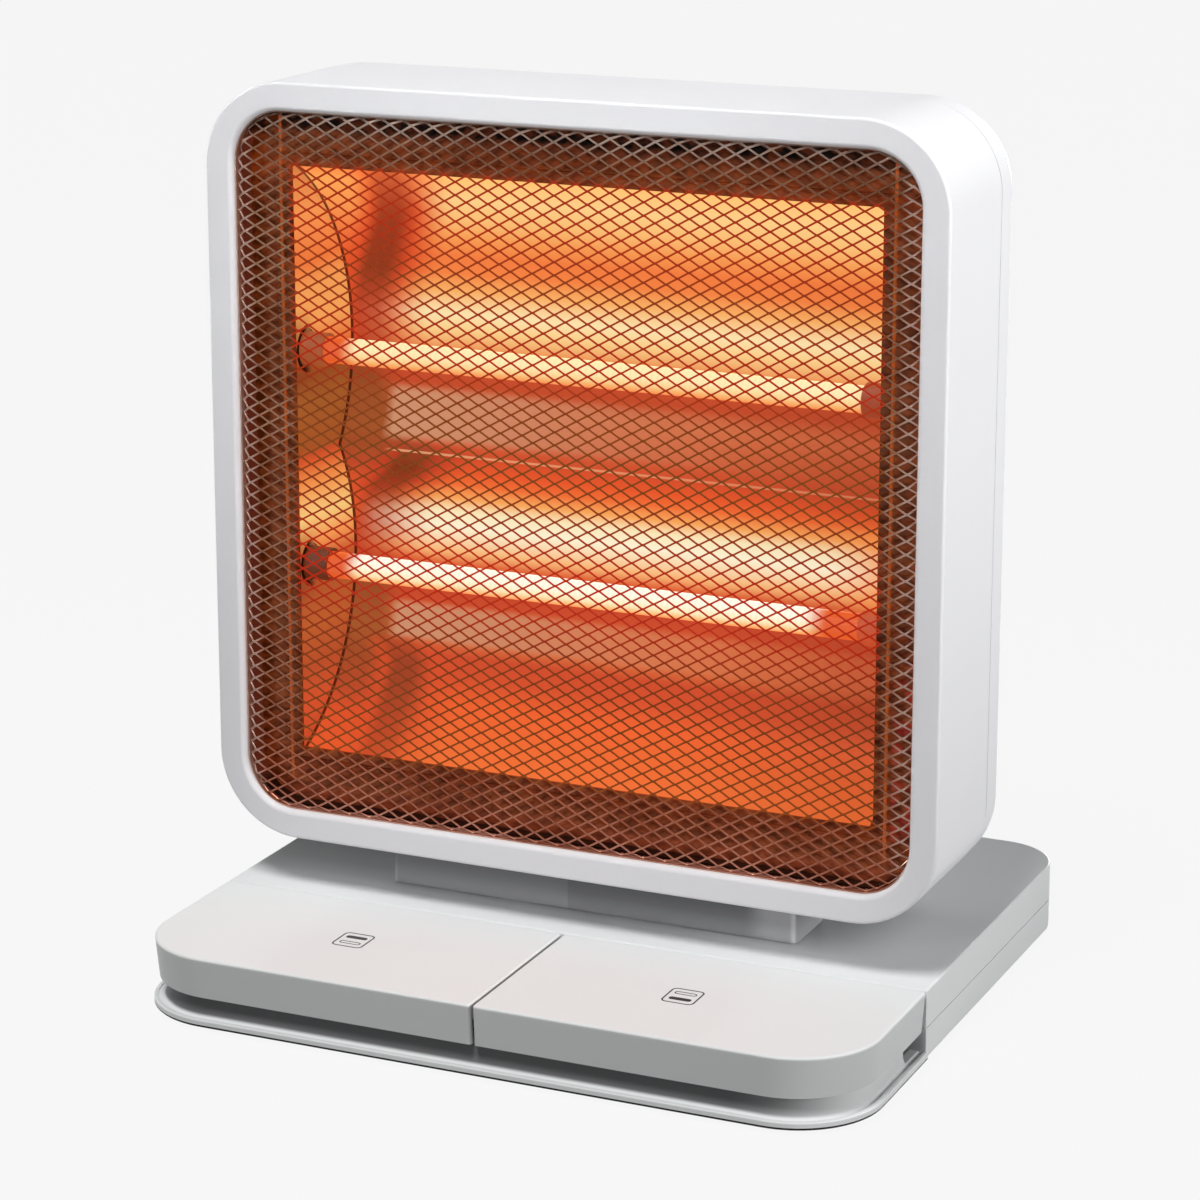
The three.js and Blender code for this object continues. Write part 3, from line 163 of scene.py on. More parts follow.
def lofted(name, rings, closed=False, flipped=False):
    """Quads between rings of points, the last ring joined to the first or both ends capped."""
    count = len(rings[0])
    faces = []
    for r in range(len(rings) if closed else len(rings) - 1):
        a0, b0 = r * count, (r + 1) % len(rings) * count
        for i in range(count):
            j = (i + 1) % count
            faces.append((a0 + i, a0 + j, b0 + j, b0 + i))
    if not closed:
        faces.append(tuple(reversed(range(count))))
        faces.append(tuple(range((len(rings) - 1) * count, len(rings) * count)))
    if flipped:
        faces = [tuple(reversed(f)) for f in faces]
    return made(name, [p for ring in rings for p in ring], faces)


def moulded(name, rect, profile, upright=False, closed=False, steps=CORNER_STEPS):
    """A rectangle's outline carried along (inset, level) or (inset, level, radius) entries."""
    rings = []
    for inset, level, *radius in profile:
        flat = outline(rect, inset, radius[0] if radius else None, steps)
        rings.append([(x, level, y) if upright else (x, y, level) for x, y in flat])
    return lofted(name, rings, closed, flipped=upright)


def quarter(make):
    return [make(pi / 2 * i / EDGE_STEPS) for i in range(EDGE_STEPS + 1)]


def round_in(inset, level, width, height):
    return quarter(lambda a: (inset + width * (1 - sin(a)), level + height * (1 - cos(a))))


def round_out(inset, level, width, height):
    return quarter(lambda a: (inset + width * (1 - cos(a)), level + height * sin(a)))


def shifted(piece, x=0.0, y=0.0, z=0.0):
    piece.data.transform(Matrix.Translation((x * MM, y * MM, z * MM)))
    return piece


def turned(name, profile, axis, at=(0.0, 0.0, 0.0), sides=ROUND_SIDES, closed=False):
    """(radius, level) entries turned about X, Y or Z through a place."""
    rings = []
    for radius, level in profile:
        ring = []
        for i in range(sides):
            angle = 2 * pi * i / sides
            u, v = radius * cos(angle), radius * sin(angle)
            ring.append({"X": (level, u, v), "Y": (v, level, u), "Z": (u, v, level)}[axis])
        rings.append(ring)
    return shifted(lofted(name, rings, closed), *at)


def repeated(name, profile, axis, places):
    return merged(name, [turned(name, profile, axis, place) for place in places])


def box(name, x0, x1, y0, y1, z0, z1):
    points = [(x, y, z) for x in (x0, x1) for y in (y0, y1) for z in (z0, z1)]
    faces = [(0, 1, 3, 2), (4, 6, 7, 5), (0, 4, 5, 1), (2, 3, 7, 6), (0, 2, 6, 4), (1, 5, 7, 3)]
    return made(name, points, faces)


def mirrored(piece, side):
    if side < 0:
        piece.data.transform(Matrix.Scale(-1, 4, (1, 0, 0)))
        piece.data.flip_normals()
    return piece


def merged(name, pieces):
    """Several meshes as one, without a boolean."""
    points, faces = [], []
    for piece in pieces:
        start = len(points)
        points += [v.co / MM for v in piece.data.vertices]
        faces += [tuple(start + i for i in p.vertices) for p in piece.data.polygons]
        bpy.data.objects.remove(piece)
    return made(name, points, faces)


def combined(operation, piece, tools):
    for tool in tools:
        step = piece.modifiers.new("step", "BOOLEAN")
        step.operation, step.solver, step.object = operation, "EXACT", tool
        graph = bpy.context.evaluated_depsgraph_get()
        piece.data = bpy.data.meshes.new_from_object(piece.evaluated_get(graph))
        piece.modifiers.clear()
        bpy.data.objects.remove(tool)
    return piece


def cut(piece, *tools):
    return combined("DIFFERENCE", piece, tools)


def joined(piece, *others):
    return combined("UNION", piece, others)


def finished(piece, material, slot=None, *replaces, body="root", smooth=True):
    """The last step of each piece: its material, smooth faces with sharp edges kept, and its body."""
    mesh = piece.data
    mesh.materials.clear()
    mesh.materials.append(material)
    for face in mesh.polygons:
        face.use_smooth = smooth
        face.material_index = 0
    if smooth:
        mesh.set_sharp_from_angle(angle=SMOOTH_ANGLE)
        step = piece.modifiers.new("faces", "WEIGHTED_NORMAL")
        step.keep_sharp = True
    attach(piece, body)
    if replaces:
        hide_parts(*replaces)
    return piece


# Materials
def srgb(code):
    values = [int(code[i:i + 2], 16) / 255 for i in (0, 2, 4)]
    return tuple(c / 12.92 if c <= 0.04045 else ((c + 0.055) / 1.055) ** 2.4 for c in values) + (1.0,)


class Term:
    """A number or colour that nodes work out, for use in ordinary sums."""

    def __init__(self, look, socket):
        self.look, self.socket = look, socket

    def __add__(self, other):
        return self.look.math("ADD", self, other)

    def __sub__(self, other):
        return self.look.math("SUBTRACT", self, other)

    def __rsub__(self, other):
        return self.look.math("SUBTRACT", other, self)

    def __mul__(self, other):
        return self.look.math("MULTIPLY", self, other)

    def __abs__(self):
        return self.look.math("ABSOLUTE", self)


class Nodes:
    """Short ways to add nodes to the tree of a material or the world."""

    def __init__(self, owner):
        owner.use_nodes = True
        self.tree = owner.node_tree

    def node(self, kind, inputs=(), **settings):
        node = self.tree.nodes.new(f"ShaderNode{kind}")
        for key, value in settings.items():
            setattr(node, key, value)
        for key, value in dict(inputs).items():
            self.put(node.inputs[key], value)
        return node

    def term(self, output, kind, inputs, **settings):
        return Term(self, self.node(kind, inputs, **settings).outputs[output])

    def put(self, socket, value):
        if isinstance(value, Term):
            value = value.socket
        if isinstance(value, bpy.types.NodeSocket):
            self.tree.links.new(value, socket)
        else:
            socket.default_value = srgb(value) if isinstance(value, str) else value

    def math(self, operation, a, b=0.0):
        return self.term(0, "Math", {0: a, 1: b}, operation=operation)

    def most(self, a, b):
        return self.math("MAXIMUM", a, b)

    def seen_directly(self):
        """1 for rays from the camera and for those mirrored or passed on by a surface."""
        path = self.node("LightPath").outputs
        mirrored_too = self.most(path["Is Camera Ray"], path["Is Glossy Ray"])
        return self.most(mirrored_too, path["Is Transmission Ray"])


class Look(Nodes):
    """A node material, with a Principled shader at its end."""

    def __init__(self, name, color, roughness, metallic=0.0, specular=0.4):
        self.material = bpy.data.materials.new(name)
        super().__init__(self.material)
        self.shader = self.tree.nodes["Principled BSDF"]
        self.paint(color)
        self.feed("Roughness", roughness)
        self.feed("Metallic", metallic)
        self.feed("Specular IOR Level", specular)
        coordinates = self.node("TexCoord").outputs
        self.place, self.normal = coordinates["Object"], coordinates["Normal"]

    def feed(self, name, value):
        self.put(self.shader.inputs[name], value)

    def paint(self, color):
        self.feed("Base Color", color)
        return color

    def axis(self, name):
        """A coordinate of the piece, in millimetres."""
        return self.math("DIVIDE", self.term(name, "SeparateXYZ", {0: self.place}), MM)

    def behind_seam(self):
        return self.axis("Y") - SEAM_Y

    def over_middle(self):
        """Height over the middle of the head."""
        return self.axis("Z") - HEAD_Z

    def facing(self, name):
        """How far a face looks along an axis of the piece."""
        return self.term(name, "SeparateXYZ", {0: self.normal})

    def span(self, value, low, high, smooth=True):
        """From 0 at low to 1 at high."""
        inputs = {"Value": value, "From Min": low, "From Max": high}
        kind = "SMOOTHSTEP" if smooth else "LINEAR"
        return self.term("Result", "MapRange", inputs, interpolation_type=kind)

    def band(self, value, middle, half, soft):
        """1 within half of the middle, and 0 from half + soft on."""
        return 1.0 - self.span(abs(value - middle), half, half + soft)

    def noise(self, scale, detail=2.0, stretch=None):
        place = self.place
        if stretch:
            place = self.term(0, "Mapping", {"Vector": place, "Scale": stretch})
        inputs = {"Vector": place, "Scale": scale, "Detail": detail}
        return self.term("Fac", "TexNoise", inputs)

    def mix(self, share, a, b, blend="MIX"):
        node = self.node("Mix", data_type="RGBA", blend_type=blend)
        for index, value in ((0, share), (6, a), (7, b)):
            self.put(node.inputs[index], value)
        return Term(self, node.outputs[2])

    def ramp(self, value, stops, color_of=srgb):
        """Colours at values in the stops' own unit."""
        low, high = min(stops), max(stops)
        node = self.node("ValToRGB", {0: self.span(value, low, high, smooth=False)})
        elements = node.color_ramp.elements
        for i, (place, entry) in enumerate(stops.items()):
            spot = (place - low) / (high - low)
            element = elements[i] if i < 2 else elements.new(spot)
            element.position = spot
            element.color = color_of(entry)
        return Term(self, node.outputs[0])

    def course(self, value, stops):
        """Numbers at values, with straight lines between them."""
        least, most = min(stops.values()), max(stops.values())
        shade = self.ramp(value, stops, lambda n: ((n - least) / (most - least),) * 3 + (1.0,))
        return self.term(0, "RGBToBW", {0: shade}) * (most - least) + least

    def bump(self, height, distance):
        inputs = {"Height": height, "Distance": distance * MM, "Strength": 1.0}
        self.feed("Normal", self.term(0, "Bump", inputs))

    def rough(self, low, high, scale, stretch=None):
        """Roughness from low to high by a noise."""
        grain = self.noise(scale, 3.0, stretch)
        inputs = {"Value": grain, "From Min": 0.2, "From Max": 0.8, "To Min": low, "To Max": high}
        self.feed("Roughness", self.term("Result", "MapRange", inputs))

    def tint(self, first, second, scale, stretch=None):
        return self.paint(self.mix(self.span(self.noise(scale, 3.0, stretch), 0.35, 0.65), first, second))

    def glow(self, color, strength):
        self.feed("Emission Color", color)
        self.feed("Emission Strength", strength)


def plastic(name, first, second, low, high, grain, depth, specular=0.4, shade=None):
    """Moulded plastic, greyer where a shade function says."""
    look = Look(name, first, low, specular=specular)
    color = look.tint(first, second, 9.0)
    if shade:
        look.paint(shade(look, color))
    look.rough(low, high, 60.0)
    look.bump(look.noise(grain), depth)
    return look.material


def skirt_shade(look, color):
    """Painted shade that makes the pedals' skirts a little greyer than their tops."""
    return look.mix(look.span(look.axis("Z"), BASE_TOP - 0.5, BASE_TOP - 2.0) * 0.6, color, "c8caca")


def tray_shade(look, color):
    """Painted shadow on the recessed plinth under the pedals and along the lowest edge in front."""
    x, y, z = look.axis("X"), look.axis("Y"), look.axis("Z")
    # Painted shadow on the plinth under the skirts, fading out toward the right corner
    within = look.span(abs(x), BASE_HALF - 2.0, BASE_HALF - 2.5) * look.span(x, 170.0, 104.0)
    ahead = look.span(y, SEAM_Y + 5.0, SEAM_Y + 4.5)
    plinth = within * ahead * look.span(z, RIM_TOP - 0.4, RIM_TOP + 1.0)
    # Painted contact shadow along the lowest edge in front
    edge = look.band(z, FOOT + 0.6, 0.45, 0.1) * look.span(y, SEAM_Y, SEAM_Y - 0.5)
    return look.mix(edge, look.mix(plinth * 0.9, color, "5c5c5e"), "1c1c1e")


# How deep the head's shade on the deck is, by distance behind the seam
DECK_COURSE = {0: 0.0, 20: 0.0, 27: 0.26, 40: 0.51, 60: 0.66, 78: 0.66, 100: 0.0, 184: 0.0}
# Painted shade up the neck by height, darkest under the head
NECK_SHADE_STOPS = {
    31: "e8e8ea", 34: "d0d0d2", 37: "b1b1b3", 39: "9c9c9e", 42: "8b8b8d", 47: "78787a", 54: "707072",
}


def deck_shade(look, color):
    """The shade under the head gives way to the right."""
    depth = look.course(look.behind_seam(), DECK_COURSE)
    return look.mix(depth * look.span(look.axis("X"), 135.0, 95.0), color, "000000")


def neck_shade(look, color):
    """Painted shade on the sleeve: darker towards the head, a darker panel in front, a lighter right end."""
    x, z = look.axis("X"), look.axis("Z")
    ahead = look.span(look.axis("Y"), NECK_FRONT + 1.5, NECK_FRONT + 1.0)
    color = look.mix(0.95, color, look.ramp(z, NECK_SHADE_STOPS))
    color = look.mix(look.span(x, -10.5, -9.8) * ahead * 0.2, color, "000000")
    light = look.mix(look.span(z, 40.0, 32.0), "bcbcbe", "e8e8ea")
    color = look.mix(look.span(x, 68.0, 80.0) * ahead, color, light)
    # Painted shade on the side that faces right
    side = look.mix(look.span(z, 44.0, 31.0), "828284", "a2a2a4")
    return look.mix(look.span(look.facing("X"), 0.5, 0.9), color, side)


def plated(name, first, second, low, high, scale):
    look = Look(name, first, low, metallic=1.0)
    look.tint(first, second, scale)
    look.rough(low, high, scale * 2)
    look.bump(look.noise(scale * 6, 3.0), 0.02)
    return look.material


# Colours of the guard by height over the head's middle: round the window, and the painted glow in front of
# it
GUARD_STOPS = {
    -150: "dcb6a6", -146: "cc9480", -140: "bc7c64", -125: "ac6a50", -100: "a47058", 0: "a47a62",
    100: "9c7860", 124: "8c6048", 136: "8a6650", 143: "a08c80", 150: "a89a90",
}
BACKLIT_STOPS = {
    -126: "8a4418", -90: "7a3c14", -66: "8a3412", -50: "b8260c", -30: "c0260c", -14: "9c3210",
    10: "7c4416", 34: "863c12", 52: "b8260c", 66: "a8280c", 84: "8c3a12", 104: "b02a0c", 126: "a02a0c",
}


def guard_metal():
    """Copper-coloured steel, browned by the heat, with painted glow in front of the window."""
    look = Look("guard_steel", "a58a7c", 0.42, metallic=0.55, specular=0.12)
    x, z, behind = look.axis("X"), look.over_middle(), look.span(look.behind_seam(), 4.5, 8.0)
    inside = look.band(x, 5.5, WINDOW_HALF_WIDTH - 0.5, 2.0)
    inside = inside * look.band(z, 3.2, WINDOW_HALF_HEIGHT - 0.5, 2.0)
    outer = look.ramp(z, GUARD_STOPS)
    worn = look.mix(0.8, outer, "d0b8aa", "MULTIPLY")
    outer = look.mix(look.span(look.noise(30.0), 0.35, 0.65), outer, worn)
    outer = look.mix(look.span(abs(x), 138.0, 146.0), outer, "c4a89c")
    browned = look.mix(look.span(look.noise(25.0), 0.35, 0.65), "70381a", "522410")
    backlit = look.ramp(z, BACKLIT_STOPS)
    color = look.mix(inside, outer, look.mix(0.6, browned, backlit))
    # Painted shade: darker where the mesh bends back into the recess
    look.paint(look.mix(behind, color, "281410"))
    # Painted glow as emission on the strands in front of the window and on the bent mesh at the sides
    dark = look.mix(look.span(look.noise(25.0), 0.3, 0.7), "000000", "180804")
    side_glow = look.span(abs(x), 139.0, 142.0) * look.band(z, 0.0, 134.0, 6.0) * behind
    dark = look.mix(side_glow, dark, "662a1a")
    look.glow(look.mix(inside, dark, look.mix(0.62, "000000", backlit)), 0.6)
    look.rough(0.35, 0.55, 120.0)
    look.bump(look.noise(900.0), 0.05)
    return look.material


# Painted glow on the surround by height over the head's middle, dark at its top and bottom margins
SURROUND_STOPS = {
    -150: "140806", -147: "180a06", -145.6: "8a3c28", -142: "863a24", -139: "6a2c14", -131: "5a1c04",
    -126: "6a2208", -110: "602609", 0: "5e270a", 110: "5e270a", 125: "9b390c", 129: "7f3006",
    133: "712c08", 137: "57220a", 140: "100806", 150: "0a0504",
}


def surround_metal():
    """Polished brown sheet, rolled from side to side, with the window's glow painted on it as emission."""
    look = Look("surround_sheet", "603622", 0.14, metallic=0.9)
    x, z = look.axis("X"), look.over_middle()
    # Painted shadow along the top and bottom margins
    shadow = look.most(look.span(z, 137.5, 141.0), look.span(z, -145.5, -147.5))
    look.paint(look.mix(shadow, look.tint("603622", "482518", 14.0, (1.0, 1.0, 8.0)), "0e0806"))
    up = look.ramp(z, SURROUND_STOPS)
    # Painted highlight on the bead, a painted darker strip by the window's right edge, red flecks and
    # patches of more and less glow
    bead = look.band(abs(x), WINDOW_HALF_WIDTH + BEAD_OFFSET + BEAD_WIDTH / 2, 0.5, 0.3)
    up = look.mix(bead * look.span(z, -142.0, -130.0), up, "f0702c")
    strip = look.band(x, WINDOW_HALF_WIDTH + 2.0, 1.6, 0.6) * look.band(z, 0.0, 122.0, 4.0)
    up = look.mix(look.most(strip * 0.6, look.span(x, 134.0, 135.0) * 0.35), up, "120604")
    crimson = look.band(z, -95.0, 25.0, 20.0) * look.span(x, 134.0, 136.0)
    up = look.mix(crimson * look.span(look.noise(160.0), 0.42, 0.6), up, "a81420")
    reflection_patch = look.span(look.noise(150.0, 2.0, (1.0, 1.0, 1.6)), 0.4, 0.62) * 0.6
    up = look.mix(reflection_patch, look.mix(0.5, up, "000000"), look.mix(0.25, up, "d8622c"))
    look.glow(up, 0.5)
    look.rough(0.1, 0.2, 90.0, (1.0, 1.0, 12.0))
    look.bump(look.noise(60.0, 2.0, (1.0, 1.0, 10.0)), 0.03)
    return look.material


# Painted glow up the reflector, by height over its middle: along its breadth, and at its left end
GLOW_STOPS = {
    -124: "f07238", -105: "ee602c", -96: "d44e2a", -88: "cc4a2a", -83: "d4683a", -71: "d4683a",
    -67: "c84a2a", -58: "c04028", -50: "e0683a", -45: "f8b878", -34: "fcf2d2", -27: "fae8ba",
    -21: "f7a85c", -14: "f06c34", -8: "e8562a", 0: "d04c2b", 9: "cc5830", 20: "cc6236", 28: "c04828",
    36: "c44c2b", 43: "ec9456", 51: "fad08a", 58: "fce4ae", 68: "f8b064", 76: "f48242", 84: "f37c3f",
    92: "f69a52", 101: "f9be74", 111: "fbd089", 124: "f9ba6c",
}
END_STOPS = {
    -124: "e85a2c", -112: "dc5029", -104: "b84829", -92: "a04a27", -80: "a2562b", -66: "984c28",
    -52: "b04428", -44: "c04828", -30: "e25c2d", -18: "dc542b", -8: "b84428", 0: "a04826", 8: "a05229",
    24: "964c26", 34: "8a4020", 44: "b84228", 62: "d85029", 80: "ea5c2b", 90: "f0703a", 104: "f69650",
    118: "f8a456", 124: "ee8042",
}
# Where the shade of the tube's dark end lies across the reflector, how deep it is, and its colour
SHADE_COURSE = {
    -124: -96, -92: -98, -84: -104, -60: -110, -46: -121, -30: -118, -19: -112, -12: -104, -6: -98,
    1: -90, 5: -96, 40: -118, 57: -121, 74: -115, 87: -108, 104: -98, 124: -88,
}
SHADE_DEPTH = {
    -124: 0.5, -108: 0.75, -92: 0.9, -86: 0.6, -82: 0.0, -62: 0.0, -50: 0.5, -30: 0.45, -18: 0.8, -8: 1.0,
    0: 0.9, 5: 0.0, 28: 0.0, 40: 0.6, 57: 0.75, 76: 1.0, 90: 1.0, 104: 1.0, 124: 0.7,
}
SHADE_STOPS = {
    -124: "a83e27", -100: "8e3c21", -46: "b84228", -20: "94341f", -8: "7c3519", 4: "9a4226", 57: "b03c25",
    76: "8c381f", 98: "98381f", 124: "bc4a2a",
}
FLANK_STOPS = {
    -124: "dc502a", -40: "d44a28", -18: "c84026", 2: "b83c24", 50: "dc4e2a", 76: "d84a28", 124: "e85c2e",
}
# How strong the painted reflection patches are along the reflector, the dark of its right end, and the
# painted highlight on its ridge
REFLECTION_PATCH_COURSE = {-128: 0.0, -109: 0.0, -104: 1.0, -84: 0.92, -50: 0.7, 0: 0.35, 60: 0.1, 128: 0.0}
DIM_COURSE = {
    -124: 0.3, -105: 0.5, -88: 0.75, -60: 0.6, -40: 0.0, -14: 0.25, 0: 0.6, 34: 0.5, 42: 0.0, 80: 0.12,
    96: 0.0, 124: 0.0,
}
RIDGE_HIGHLIGHT_COURSE = {-128: 0.0, -106: 0.0, -100: 0.8, 0: 0.6, 128: 0.3}


def reflector_metal():
    """Polished sheet with the tubes' light painted on it as a glow that goes by its own height and breadth.
    """
    look = Look("reflector_sheet", "4a2210", 0.22, metallic=0.85)
    x, z = look.axis("X"), look.over_middle()
    along = x + (look.noise(14.0, 2.0, (1.0, 1.0, 2.0)) - 0.5) * 4.0
    beside = along - look.course(z, SHADE_COURSE)
    color = look.mix(look.span(beside, -8.0, 8.0), look.ramp(z, END_STOPS), look.ramp(z, GLOW_STOPS))

    # Painted reflection of a pale light in a patch under each tube, paler to the left
    reflection_patch = look.most(look.band(z, 15.0, 7.5, 5.0), look.band(z, -76.0, 5.0, 4.0))
    color = look.mix(reflection_patch * look.course(x, REFLECTION_PATCH_COURSE), color, "c98f6c")

    # Shade of the tubes' dark ends, with redder flanks
    away = look.most(beside, beside * -1.7)
    depth = look.course(z, SHADE_DEPTH)
    color = look.mix(look.span(away, 32.0, 11.0) * depth, color, look.ramp(z, FLANK_STOPS))
    color = look.mix(look.span(away, 17.0, 4.0) * depth, color, look.ramp(z, SHADE_STOPS))

    # The right end is darker where no tube shines on it
    color = look.mix(look.span(x, 30.0, 125.0) * look.course(z, DIM_COURSE), color, "a03c22")
    # The painted glow of the lower bright band turns orange toward the right end
    edge = look.span(x, 86.0, 122.0) * look.band(z, -34.0, 13.0, 9.0)
    color = look.mix(edge * 0.85, color, "f28a44")

    # A painted highlight along the ridge between the troughs, and a dark line at both ends
    color = look.mix(look.band(z, 0.0, 0.35, 0.3) * look.course(x, RIDGE_HIGHLIGHT_COURSE), color, "e8a878")
    fold = look.span(abs(x), WINDOW_HALF_WIDTH - 1.9, WINDOW_HALF_WIDTH - 1.5)
    color = look.mix(fold * 0.9, color, "3a1208")
    look.glow(look.mix(look.span(look.facing("Y"), *REAR_FACE), color, "000000"), 0.98)
    look.tint("3a1a0c", "281006", 12.0)
    look.rough(0.18, 0.3, 70.0, (1.0, 1.0, 6.0))
    look.bump(look.noise(40.0, 2.0, (1.0, 1.0, 6.0)), 0.03)
    return look.material


# Painted glow on the cheeks by height over the head's middle
CHEEK_STOPS = {
    -124: "cc4c2a", -106: "d8532c", -90: "bc502b", -74: "c05f2e", -58: "b4562c", -48: "cc5c30",
    -38: "f89a54", -26: "fccf7e", -14: "f99a50", -4: "e05c2e", -1: "cc502a", 2: "a85426", 22: "a45c28",
    34: "984a22", 44: "ea7038", 56: "faa85c", 70: "faa45a", 82: "f67a3c", 102: "fa9a54", 124: "e08048",
}


def cheek_metal():
    """The same sheet at the ends of the troughs, with painted glow and a painted shadow round its holes."""
    look = Look("cheek_sheet", "4a2210", 0.25, metallic=0.85)
    y, z = look.behind_seam(), look.over_middle()
    color = look.ramp(z + (look.noise(20.0) - 0.5) * 8.0, CHEEK_STOPS)
    caps = look.most(look.band(z, TUBE_LEVEL, 8.0, 12.0), look.band(z, -TUBE_LEVEL, 8.0, 12.0))
    color = look.mix(look.span(y, 36.0, 15.0) * caps * 0.5, color, "6a2c18")
    across, above = y - TUBE_Y, abs(z) - TUBE_LEVEL
    from_hole = look.math("SQRT", across * across + above * above)
    # Painted shadow round the front of each hole
    ring = look.band(from_hole, CHEEK_HOLE + 0.9, 1.0, 0.3) * look.span(across, 4.0, -4.0)
    color = look.mix(ring, color, "0e0503")
    outward = look.facing("X") * look.math("SIGN", look.axis("X"))
    look.glow(look.mix(look.span(outward, *REAR_FACE), color, "000000"), 0.9)
    look.tint("3a1a0c", "281006", 12.0)
    look.rough(0.2, 0.32, 60.0)
    look.bump(look.noise(50.0), 0.04)
    return look.material


def tube_glow(name, level, stops, right_end):
    """A lit quartz tube, brighter over its middle than at its ends, with the coil's turns faint in it."""
    look = Look(name, "ffe8c0", 0.2)
    x, z = look.axis("X"), look.over_middle() - level
    wave = look.math("SINE", x * (2 * pi / COIL_PITCH))
    color = look.mix((wave * 0.5 + 0.5) * 0.12, look.ramp(z, stops), "f6a860")
    ends = look.most(look.span(x, -102.0, -112.0), look.span(x, right_end, right_end + 12.0))
    look.paint(look.mix(ends, "201008", "30140a"))
    look.glow(look.mix(ends, color, "e05a26"), 1.0)
    look.rough(0.15, 0.25, 80.0)
    return look.material


def ceramic_look():
    """Ceramic caps, with the glow of their own tube painted on them as emission."""
    look = Look("ceramic", "4a3428", 0.6)
    look.tint("4a3428", "38261c", 160.0)
    right, upper = look.span(look.axis("X"), -10.0, 10.0), look.span(look.over_middle(), -10.0, 10.0)
    color = look.mix(right, look.mix(upper, "64280f", "b4582c"), look.mix(upper, "e0582e", "b84a28"))
    look.glow(look.mix(look.noise(90.0) * 0.5, color, "501c0c"), 0.85)
    look.rough(0.5, 0.75, 200.0)
    look.bump(look.noise(700.0), 0.05)
    return look.material


def mark_look():
    look = Look("mark_ink", "2c2c30", 0.4)
    look.tint("28282c", "363639", 400.0)
    look.rough(0.35, 0.5, 300.0)
    return look.material


head_white = plastic("head_white", "e9e9ec", "e7e7ea", 0.275, 0.295, 120.0, 0.001, 0.08)
BASE_FINISH = ("eaecec", "e8eaea", 0.36, 0.4, 1400.0, 0.008, 0.06)
deck_white = plastic("deck_white", *BASE_FINISH, deck_shade)
pedal_white = plastic("pedal_white", *BASE_FINISH, skirt_shade)
tray_white = plastic("tray_white", *BASE_FINISH, tray_shade)
# The neck's white plastic with painted shade
neck_shaded = plastic("neck_shaded", *BASE_FINISH, neck_shade)
guard_steel = guard_metal()
surround_sheet = surround_metal()
reflector_sheet = reflector_metal()
cheek_sheet = cheek_metal()
upper_glow = tube_glow("quartz_upper", TUBE_LEVEL, {
    -5.5: "e06a34", -3.5: "f6a862", -1: "fad492", 2: "fceab2", 5.5: "fdf0ba",
}, 114.0)
lower_glow = tube_glow("quartz_lower", -TUBE_LEVEL, {
    -5.5: "ee7a40", -3.5: "fabc78", -1: "fcecbc", 2: "fdfae0", 5.5: "fefdf0",
}, 93.0)
ceramic = ceramic_look()
zinc = plated("zinc_steel", "b8bcbf", "9ea3a6", 0.3, 0.42, 120.0)
dark_plastic = plastic("dark_plastic", "2c2d2f", "242527", 0.5, 0.65, 900.0, 0.03)
rubber = plastic("rubber", "1d1d1e", "262627", 0.8, 0.92, 700.0, 0.05)
ink = mark_look()


# The head
bezel_half = HEAD_HALF - BEZEL_BAND
head_rect = centred(HEAD_HALF, HEAD_HALF, HEAD_CORNER)
bezel_rect = centred(bezel_half, bezel_half, BEZEL_CORNER)


def to_head(piece):
    return shifted(piece, 0.0, SEAM_Y, HEAD_Z)


def front_housing():
    lip = quarter(lambda a: (BEZEL_BAND - BEZEL_LIP * (1 - cos(a)), BEZEL_LIP * (1 - sin(a))))
    wall, outer_corner = BEZEL_BAND - BEZEL_WALL, BEZEL_CORNER + BEZEL_WALL
    profile = [
        (BEZEL_BAND, BEZEL_REAR, BEZEL_CORNER),
        *[(inset, level, BEZEL_CORNER + BEZEL_BAND - inset) for inset, level in lip],
        *round_in(0.0, 0.0, HEAD_EDGE, HEAD_EDGE),
        (0.0, SHELL_DEPTH),
        (HEAD_WALL, SHELL_DEPTH),
        (HEAD_WALL, HEAD_WALL),
        (wall, HEAD_WALL, outer_corner),
        (wall, BEZEL_REAR, outer_corner),
    ]
    return to_head(moulded("head_shell", head_rect, profile, upright=True, closed=True))


def louvre(x, z):
    half = LOUVRE_HEIGHT / 2
    return moulded("louvre", centred(LOUVRE_HALF, half, half - SHUT, x, z), [
        (0.0, HEAD_DEPTH - HEAD_WALL - OVERRUN), (0.0, HEAD_DEPTH - LOUVRE_LIP),
        (-LOUVRE_LIP, HEAD_DEPTH), (-LOUVRE_LIP, HEAD_DEPTH + OVERRUN),
    ], upright=True, steps=LOUVRE_STEPS)


def grip(name, grow, profile):
    """A rounded block at the carry grip."""
    half = GRIP_HEIGHT / 2
    rect = centred(GRIP_HALF_WIDTH + grow, half + grow, GRIP_CORNER + grow, 0.0, GRIP_TOP - half)
    return moulded(name, rect, profile, upright=True)


